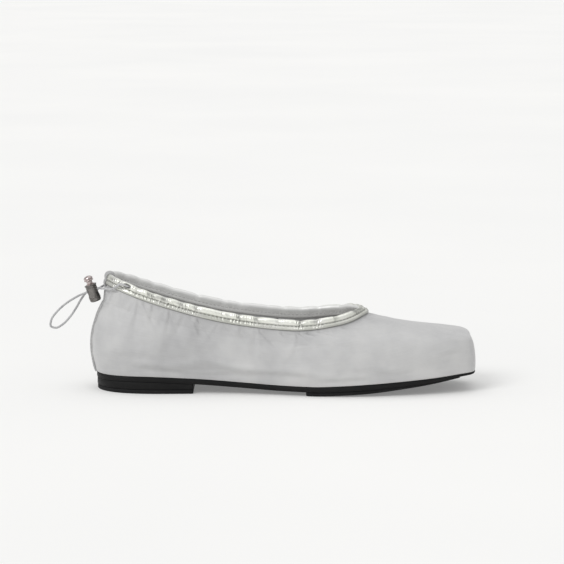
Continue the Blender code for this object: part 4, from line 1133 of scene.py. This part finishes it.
def make_spring(finishes):
    """The coil under the plunger: four turns of 0.4 mm wire on a radius of 2.1 mm. The real coil shortens towards
    the barrel's floor, 6.5 mm below the lock's middle, to 0.45 of its height as the button goes down 2.2 mm; this
    piece rides on the lock's body at full height."""
    turn = np.linspace(0, 4 * TAU, 193)
    path = np.column_stack([2.1 * np.cos(turn), 2.1 * np.sin(turn), -6.0 + 3.3 * turn / (4 * TAU)]) * MM
    path = np.array([LOCK_PLACE @ Vector(place) for place in path])
    spring = tube("cord_lock_spring", path, 0.2 * MM, finishes["steel"], body="cord_lock", sides=10)
    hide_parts("lock_spring")
    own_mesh(spring)


# ---- free drawcord --------------------------------------------------------------------------------------
def cord_channel(at):
    top, outward, upward = topline_at(np.atleast_1d(at))
    return (top - outward * WALL / 2 - upward * FOLD_RADIUS)[0], outward[0]


def cord_exit(side):
    """Where the elastic leaves its channel, with the outward direction there and the one it runs on in
    towards the heel: -1 outer, 1 inner. The slots are near the second station from the heel on each side."""
    station, neighbour = (2, 1) if side < 0 else (22, 23)
    start, out = cord_channel(KNOTS[station])
    beside, _ = cord_channel(KNOTS[station] + (KNOTS[neighbour] - KNOTS[station]) / 3)
    return start, out, (beside - start) / np.linalg.norm(beside - start)


def strand_to_lock(side):
    """The points of one free strand, from its slot in the casing back to the lock: -1 outer, 1 inner."""
    start, out, run = cord_exit(side)
    leave = [(0.4, 0.0), (1.8, 0.35), (4.6, 2.1), (7.6, 3.4)]
    points = [start + run * back * MM + out * away * MM for back, away in leave]
    for ahead, across, above in ((14.2, 17.6, 3.6), (8.6, 9.6, 2.7), (5.9, 4.6, 2.0)):
        points.append(np.array(LOCK_CENTRE + Vector((ahead, side * across, above)) * MM))
    for ahead, across in ((5.0, 0.60), (4.0, 0.51), (0.0, 0.5), (-4.0, 0.5)):
        aside = Vector((0, side * across * CORD_SPACING, 0))
        points.append(np.array(LOCK_CENTRE + HOLE_AXIS * ahead * MM + aside))
    return points


def cord_path():
    """The whole free cord at a quarter of a millimetre, and where it crosses the lock's middle both times."""
    hanging = (
        (-7.4, -1.15, -2.6),
        (-12.3, -1.2, -5.2),
        (-17.6, -0.9, -8.8),
        (-22.8, -0.5, -13.6),
        (-26.8, 0.0, -19.4),
        (-27.1, 0.2, -23.4),
        (-24.0, 0.5, -24.5),
        (-19.4, 0.9, -22.2),
        (-14.8, 1.2, -17.5),
        (-10.6, 1.3, -11.4),
        (-7.0, 1.15, -5.3),
    )
    loop = [np.array(LOCK_CENTRE + Vector(place) * MM) for place in hanging]
    path = smooth_path(strand_to_lock(-1) + loop + strand_to_lock(1)[::-1], 0.25 * MM)
    ahead = (path - np.array(LOCK_CENTRE)) @ np.array(HOLE_AXIS)
    crossings = np.where(np.diff(np.sign(ahead)) != 0)[0]
    return path, int(crossings[0]), int(crossings[-1])


def braid(walked, turn):
    """Braid on the cord: crossing strands as the higher of two sets of helical ridges, 0.09 mm deep."""
    one = np.cos(4 * turn + walked * TAU / 0.0016)
    other = np.cos(4 * turn - walked * TAU / 0.0016)
    return 0.045 * MM * (np.maximum(one, other) - 0.6)


def make_cord(finishes):
    """The elastic, whose two strands stretch with the lock and whose hanging loop shortens as it slides: here the
    strands are on no body and the loop rides on the lock.
    """
    path, first, second = cord_path()
    strands = (
        ("drawcord_outer_strand", path[: first + 1]),
        ("drawcord_inner_strand", path[second + 1 :][::-1]),
    )
    for name, stretch in strands:
        obj = tube(name, stretch, CORD_DIAMETER / 2, finishes["cord"], body=None, sides=16, wobble=braid)
        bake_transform(obj)
        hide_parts("drawcord_loop")
    hanging = path[first : second + 2]
    loop = tube("drawcord_hanging_loop", hanging, CORD_DIAMETER / 2, finishes["cord"], "cord_lock", 16, braid)
    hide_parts("drawcord_loop")
    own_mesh(loop)


# ---- finishes -------------------------------------------------------------------------------------------
class Finish:
    """A node material being built: add() makes a node, wires what it is given and returns its outputs."""

    def __init__(self, name, **constants):
        self.material = bpy.data.materials.new(name)
        self.material.use_nodes = True
        self.tree = self.material.node_tree
        self.shader = self.tree.nodes["Principled BSDF"]
        self.place = self.add("ShaderNodeTexCoord").outputs
        for socket, value in constants.items():
            self.shader.inputs[socket.replace("_", " ")].default_value = value

    def add(self, kind, inputs=None, **settings):
        node = self.tree.nodes.new(kind)
        for key, value in settings.items():
            setattr(node, key, value)
        for key, value in (inputs or {}).items():
            if isinstance(value, bpy.types.NodeSocket):
                self.tree.links.new(value, node.inputs[key])
            else:
                node.inputs[key].default_value = value
        return node

    def reading(self, name):
        return self.add("ShaderNodeAttribute", attribute_name=name).outputs["Fac"]

    def stretched(self, place, scale):
        return self.add("ShaderNodeMapping", {"Vector": place, "Scale": scale}).outputs["Vector"]

    def noise(self, place, scale, detail=3.0, rough=0.5, warp=0.0):
        settings = {"Vector": place, "Scale": scale, "Detail": detail, "Roughness": rough, "Distortion": warp}
        return self.add("ShaderNodeTexNoise", settings).outputs["Fac"]

    def cells(self, place, scale, feature="F1", jitter=1.0):
        settings = {"Vector": place, "Scale": scale, "Randomness": jitter}
        return self.add("ShaderNodeTexVoronoi", settings, feature=feature).outputs["Distance"]

    def wave(self, place, scale, warp=0.0, direction="X"):
        settings = {"Vector": place, "Scale": scale, "Distortion": warp}
        return self.add("ShaderNodeTexWave", settings, wave_type="BANDS", bands_direction=direction).outputs["Fac"]

    def maths(self, operation, first, second=0.0):
        return self.add("ShaderNodeMath", {0: first, 1: second}, operation=operation).outputs[0]

    def between(self, value, low, high, start=0.0, stop=1.0):
        inputs = {"Value": value, "From Min": start, "From Max": stop, "To Min": low, "To Max": high}
        return self.add("ShaderNodeMapRange", inputs).outputs["Result"]

    def ramp(self, value, *stops):
        """A colour from stops of (place, colour)."""
        node = self.add("ShaderNodeValToRGB", {"Fac": value})
        marks = node.color_ramp.elements
        while len(marks) < len(stops):
            marks.new(0.5)
        for mark, (place, colour) in zip(marks, stops):
            mark.position, mark.color = place, (*colour, 1)
        return node.outputs["Color"]

    def mix(self, share, first, second, kind="MIX"):
        node = self.add("ShaderNodeMix", data_type="RGBA", blend_type=kind)
        for slot, value in ((0, share), (6, first), (7, second)):
            if isinstance(value, bpy.types.NodeSocket):
                self.tree.links.new(value, node.inputs[slot])
            else:
                node.inputs[slot].default_value = value if slot == 0 else (*value, 1)
        return node.outputs[2]

    def bumps(self, *layers):
        """Bump layers of (height, strength, distance in metres), from the broadest to the finest."""
        normal = None
        for height, strength, distance in layers:
            inputs = {"Height": height, "Strength": strength, "Distance": distance}
            if normal is not None:
                inputs["Normal"] = normal
            normal = self.add("ShaderNodeBump", inputs).outputs["Normal"]
        self.tree.links.new(normal, self.shader.inputs["Normal"])

    def set(self, **sockets):
        for socket, value in sockets.items():
            self.tree.links.new(value, self.shader.inputs[socket.replace("_", " ")])
        return self


def satin_finish(name, depth=1.0):
    """Duchess satin: warp threads 0.12 mm apart with long floats, a soft sheen, faint slubs and mottling. A depth
    below 1 darkens the whole cloth as painted shade.
    """
    f = Finish(name, Roughness=0.5, Sheen_Weight=0.35, Sheen_Roughness=0.4, Specular_IOR_Level=0.55)
    cloth, solid = f.place["UV"], f.place["Object"]
    slubs = f.noise(f.stretched(cloth, (0.05, 2.2, 1)), 1.0, 3)
    mottle = f.noise(solid, 55.0, 3, 0.55)
    patches = f.noise(solid, 16.0, 2, 0.5, 0.4)
    tone = f.maths("ADD", f.maths("MULTIPLY", mottle, 0.5), f.maths("MULTIPLY", patches, 0.5))
    tones = (0.30, (0.40, 0.40, 0.405)), (0.52, (0.50, 0.50, 0.50)), (0.72, (0.585, 0.582, 0.575))
    colour = f.ramp(tone, *tones)
    colour = f.mix(f.between(slubs, 0.0, 0.22, 0.45, 0.75), colour, (0.60, 0.60, 0.60))
    # Painted shade: the whole colour times depth.
    colour = f.mix(1.0, colour, (depth, depth, depth), "MULTIPLY")
    floats = f.wave(cloth, 1.3, 0.6, "Y")
    weft = f.wave(cloth, 2.6, 0.3, "X")
    weave = f.maths("MULTIPLY", floats, f.between(weft, 0.6, 1.0))
    rough = f.between(mottle, 0.40, 0.60)
    f.bumps((mottle, 0.25, 0.0006), (slubs, 0.30, 0.00025), (weave, 0.35, 0.00008))
    return f.set(Base_Color=colour, Roughness=rough).material


def silver_finish():
    """Metallised leather: a crackled foil over fine grain, cream-green in tint, duller in the grain's pits, with
    painted shade darkening it where the casing's hollow value is high.
    """
    f = Finish("silver_leather", Metallic=0.72, Roughness=0.3, Coat_Weight=0.3, Coat_Roughness=0.15)
    solid = f.place["Object"]
    grain = f.cells(solid, 1500.0)
    doubled = f.add("ShaderNodeVectorMath", {0: solid, 1: solid}, operation="ADD").outputs[0]
    crackle = f.cells(doubled, 260.0, "DISTANCE_TO_EDGE")
    cracks = f.between(crackle, 0.0, 1.0, 0.0, 0.09)
    tarnish = f.noise(solid, 90.0, 4, 0.6)
    tint = f.ramp(tarnish, (0.32, (0.76, 0.77, 0.70)), (0.5, (0.85, 0.86, 0.79)), (0.70, (0.92, 0.92, 0.87)))
    colour = f.mix(f.between(cracks, 0.14, 0.0), tint, (0.40, 0.39, 0.36))
    # Painted shade: darker towards 0.12 grey as the hollow value rises.
    colour = f.mix(f.between(f.reading("hollow"), 0.0, 0.85), colour, (0.12, 0.12, 0.115))
    inside = f.reading("inside")
    colour = f.mix(f.between(inside, 0.0, 0.85), colour, (0.78, 0.78, 0.775))
    rough = f.maths("ADD", f.between(grain, 0.28, 0.38, 0.0, 0.7), f.between(tarnish, 0.10, -0.05, 0.3, 0.7))
    f.bumps((tarnish, 0.30, 0.0004), (cracks, 0.12, 0.00012), (grain, 0.25, 0.0001))
    return f.set(Base_Color=colour, Roughness=rough, Metallic=f.between(inside, 0.70, 0.15)).material


def woven_finish(name, dark, light, threads=0.9, sheen=0.2, rough=0.8):
    """Plain-woven cloth: crossing threads as the higher of two waves, with painted shade between them, uneven yarn
    and soft mottling.
    """
    f = Finish(name, Roughness=rough, Sheen_Weight=sheen, Sheen_Roughness=0.5, Specular_IOR_Level=0.3)
    cloth, solid = f.place["UV"], f.place["Object"]
    warp, weft = f.wave(cloth, threads, 0.4, "X"), f.wave(cloth, threads, 0.4, "Y")
    weave = f.maths("MAXIMUM", f.maths("MULTIPLY", warp, 0.9), weft)
    yarn = f.noise(f.stretched(cloth, (0.3, 3.0, 1)), 1.0, 3)
    mottle = f.noise(solid, 70.0, 4)
    tone = f.maths("ADD", f.maths("MULTIPLY", mottle, 0.7), f.maths("MULTIPLY", yarn, 0.3))
    colour = f.ramp(tone, (0.32, dark), (0.68, light))
    # Painted shade: up to 25 % towards a darker colour between the threads.
    colour = f.mix(f.between(weave, 0.25, 0.0), colour, tuple(part * 0.6 for part in dark))
    f.bumps((mottle, 0.2, 0.0006), (weave, 0.45, 0.0001))
    return f.set(Base_Color=colour).material


def leather_finish(name, dark, light, rough=0.55):
    """Smooth split leather: cells of grain 0.6 mm wide with painted shade in the creases between them, and handling
    marks.
    """
    f = Finish(name, Roughness=rough, Specular_IOR_Level=0.4)
    solid = f.place["Object"]
    grain = f.between(f.cells(solid, 1500.0, "DISTANCE_TO_EDGE"), 0.0, 1.0, 0.0, 0.12)
    marks = f.noise(solid, 45.0, 5, 0.6, 0.3)
    painted_shade_colour = tuple(part * 0.5 for part in dark)
    # Painted shade: up to 30 % towards a darker colour in the grain's creases.
    colour = f.mix(f.between(grain, 0.3, 0.0), f.ramp(marks, (0.3, dark), (0.7, light)), painted_shade_colour)
    f.bumps((marks, 0.25, 0.0005), (grain, 0.35, 0.00012))
    return f.set(Base_Color=colour, Roughness=f.between(marks, rough - 0.1, rough + 0.1, 0.3, 0.7)).material


def sole_finish(name, dark, light, rough, scale=900.0):
    """Dyed sole leather or moulded rubber: fine pits, drawn-out scuffs along the shoe and paler worn spots."""
    f = Finish(name, Roughness=rough, Specular_IOR_Level=0.22)
    solid = f.place["Object"]
    pits = f.cells(solid, scale)
    scuffs = f.noise(f.stretched(solid, (60, 420, 900)), 1.0, 4, 0.6)
    worn = f.noise(solid, 80.0, 4, 0.55, 0.3)
    marks = f.maths("ADD", f.maths("MULTIPLY", worn, 0.6), f.maths("MULTIPLY", scuffs, 0.4))
    colour = f.ramp(marks, (0.35, dark), (0.72, light))
    f.bumps((worn, 0.2, 0.0004), (scuffs, 0.35, 0.00015), (pits, 0.3, 0.0001))
    return f.set(Base_Color=colour, Roughness=f.between(scuffs, rough - 0.12, rough + 0.12, 0.3, 0.7)).material


def metal_finish(name, dark, light, rough, brushed=2200.0):
    """Plated or drawn metal: fine turning lines, clouding in the plating and a few darker specks."""
    f = Finish(name, Metallic=1.0, Roughness=rough)
    solid = f.place["Object"]
    lines = f.noise(f.stretched(solid, (400, 400, brushed)), 1.0, 2)
    cloud = f.noise(solid, 220.0, 4, 0.55)
    specks = f.between(f.cells(solid, 900.0), 0.6, 0.0, 0.05, 0.22)
    colour = f.mix(specks, f.ramp(cloud, (0.3, dark), (0.7, light)), tuple(part * 0.35 for part in dark))
    f.bumps((cloud, 0.08, 0.0002), (lines, 0.12, 0.00005))
    return f.set(Base_Color=colour, Roughness=f.between(cloud, rough - 0.06, rough + 0.08, 0.3, 0.7)).material


def fibre_finish(name, dark, light, scale=400.0, rough=0.85):
    """Board, foam, cork or felt: blotches of crumbs and fibres at this many to the metre."""
    f = Finish(name, Roughness=rough, Specular_IOR_Level=0.25)
    solid = f.place["Object"]
    crumbs = f.cells(solid, scale)
    fibres = f.noise(f.stretched(solid, (1, 2.2, 3)), scale, 5, 0.65, 0.6)
    tone = f.maths("ADD", f.maths("MULTIPLY", crumbs, 0.5), f.maths("MULTIPLY", fibres, 0.6))
    f.bumps((crumbs, 0.4, 0.0004), (fibres, 0.4, 0.0002))
    return f.set(Base_Color=f.ramp(tone, (0.3, dark), (0.75, light))).material


def cord_finish(name, dark, light):
    """Braided yarn: painted shade where strands dip, with fine fibres along the cord."""
    f = Finish(name, Roughness=0.7, Sheen_Weight=0.3, Specular_IOR_Level=0.4)
    cloth = f.place["UV"]
    one = f.wave(f.stretched(cloth, (0.2, 1.0, 1)), 1.6, 0.2, "DIAGONAL")
    fibres = f.noise(f.stretched(cloth, (1.5, 40.0, 1)), 1.0, 3)
    worn = f.noise(f.place["Object"], 300.0, 3)
    painted_shade_colour = tuple(part * 0.6 for part in dark)
    # Painted shade: up to 35 % towards a darker colour in the dips of the braid.
    colour = f.mix(f.between(one, 0.35, 0.0), f.ramp(worn, (0.3, dark), (0.7, light)), painted_shade_colour)
    f.bumps((one, 0.25, 0.0001), (fibres, 0.25, 0.00005))
    return f.set(Base_Color=colour).material


def floor_finish():
    """Matt paper over a softly lit table, near white with a faint warm and cool drift."""
    glow = {"Emission_Color": (1, 1, 0.99, 1), "Emission_Strength": 0.20}
    f = Finish("paper", Roughness=0.95, Specular_IOR_Level=0.1, **glow)
    drift = f.noise(f.place["Object"], 2.0, 3)
    grain = f.noise(f.place["Object"], 900.0, 2)
    f.bumps((grain, 0.05, 0.0001))
    return f.set(Base_Color=f.ramp(drift, (0.3, (0.70, 0.70, 0.693)), (0.7, (0.73, 0.727, 0.716)))).material


def make_finishes():
    return {
        "satin": satin_finish("satin_cloth"),
        # A darker copy of the satin, painted shade for the back strip.
        "satin_strip_painted_shade": satin_finish("satin_strip_painted_shade", 0.74),
        "silver": silver_finish(),
        # This thread is coloured dark as painted shade in the casing's groove.
        "thread": cord_finish("silver_thread_with_painted_shade", (0.22, 0.22, 0.20), (0.36, 0.36, 0.33)),
        "thread_pale": cord_finish("pale_thread", (0.60, 0.60, 0.59), (0.74, 0.74, 0.73)),
        "thread_grey": cord_finish("grey_thread", (0.26, 0.26, 0.265), (0.42, 0.42, 0.42)),
        "lining": woven_finish("lining_cloth", (0.50, 0.50, 0.50), (0.64, 0.64, 0.635)),
        "heel_lining": woven_finish("heel_lining_cloth", (0.48, 0.48, 0.48), (0.61, 0.61, 0.605), 0.7),
        "sock": leather_finish("sock_leather", (0.40, 0.39, 0.375), (0.54, 0.53, 0.51)),
        "sole": sole_finish("black_sole_leather", (0.0022, 0.0022, 0.0024), (0.008, 0.0078, 0.0078), 0.55),
        "rubber": sole_finish("black_rubber", (0.004, 0.004, 0.0042), (0.016, 0.016, 0.0165), 0.68, 1400.0),
        "cord": cord_finish("grey_elastic", (0.36, 0.36, 0.37), (0.56, 0.56, 0.56)),
        # The barrel's nickel is coloured far darker than plain nickel: painted dark reflections.
        "nickel": metal_finish("nickel_with_painted_dark_reflections", (0.10, 0.095, 0.09), (0.30, 0.285, 0.27), 0.13),
        "nickel_dark": metal_finish("nickel_button", (0.42, 0.36, 0.35), (0.66, 0.58, 0.57), 0.2),
        "steel": metal_finish("spring_steel", (0.40, 0.41, 0.43), (0.60, 0.61, 0.63), 0.28),
        "brass": metal_finish("brass", (0.56, 0.40, 0.16), (0.78, 0.60, 0.28), 0.30),
        "board": fibre_finish("fibre_board", (0.24, 0.15, 0.08), (0.42, 0.29, 0.17)),
        "foam": fibre_finish("latex_foam", (0.62, 0.57, 0.42), (0.80, 0.76, 0.60), 900.0),
        "cork": fibre_finish("cork_filler", (0.22, 0.12, 0.05), (0.55, 0.36, 0.18), 350.0),
        "stiffener": fibre_finish("stiffener_felt", (0.50, 0.48, 0.42), (0.68, 0.66, 0.60), 700.0),
    }


def assign(node, finish):
    """Gives a kept CAD node its finish."""
    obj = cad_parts[node]
    if not obj.data.materials:
        obj.data.materials.append(finish)
    for slot in obj.material_slots:
        slot.material = finish


def finish_inner_pieces(finishes):
    kept = {
        "drawcord_casing_run": "cord",
        "footbed_foam": "foam",
        "forepart_filler": "cork",
        "heel_counter": "stiffener",
        "toe_puff": "stiffener",
        "insole_board": "board",
        "shank": "steel",
        "shank_rivet_1": "brass",
        "shank_rivet_2": "brass",
    }
    kept.update({f"heel_nail_{k}": "steel" for k in range(1, 6)})
    kept.update({f"lift_nail_{k}": "steel" for k in range(1, 4)})
    for node, finish in kept.items():
        assign(node, finishes[finish])


# ---- floor and light ------------------------------------------------------------------------------------
def make_stage():
    """A level sheet of paper, wide enough to fill the view to its top."""
    across = np.linspace(-20, 20, 41)
    points = [(x, y, 0.0) for x in across for y in across + 14]
    mesh = bpy.data.meshes.new("paper_floor")
    mesh.from_pydata(points, [], grid_faces(41, 41).tolist())
    mesh.materials.append(floor_finish())
    floor = bpy.data.objects.new("paper_floor", mesh)
    bpy.context.scene.collection.objects.link(floor)


def make_sun(name, towards, strength, spread_angle):
    """A far soft light: towards is the direction it shines in, and spread_angle its size in degrees."""
    lamp = bpy.data.lights.new(name, "SUN")
    lamp.energy, lamp.angle = strength, math.radians(spread_angle)
    obj = bpy.data.objects.new(name, lamp)
    obj.rotation_euler = Vector(towards).to_track_quat("-Z", "Y").to_euler()
    obj.location = -Vector(towards)
    bpy.context.scene.collection.objects.link(obj)


def make_studio():
    """An even white room, with one broad soft light from the upper left in front and a weaker one from above."""
    world = bpy.data.worlds.new("studio")
    world.use_nodes = True
    world.node_tree.nodes["Background"].inputs["Color"].default_value = (1, 1, 1, 1)
    world.node_tree.nodes["Background"].inputs["Strength"].default_value = 0.62
    bpy.context.scene.world = world
    bpy.context.scene.view_settings.view_transform = "Standard"
    make_sun("key", (0.55, 0.66, -0.72), 1.20, 30)
    make_sun("top", (-0.05, -0.15, -1.0), 0.50, 60)


def main():
    finishes = make_finishes()
    make_cord(finishes)
    make_lock(finishes)
    make_spring(finishes)
    make_upper(finishes)
    make_casing(finishes)
    make_back_strip(finishes)
    make_lining(finishes)
    make_sole(finishes)
    make_sock(finishes)
    finish_inner_pieces(finishes)
    make_stage()
    make_studio()


main()
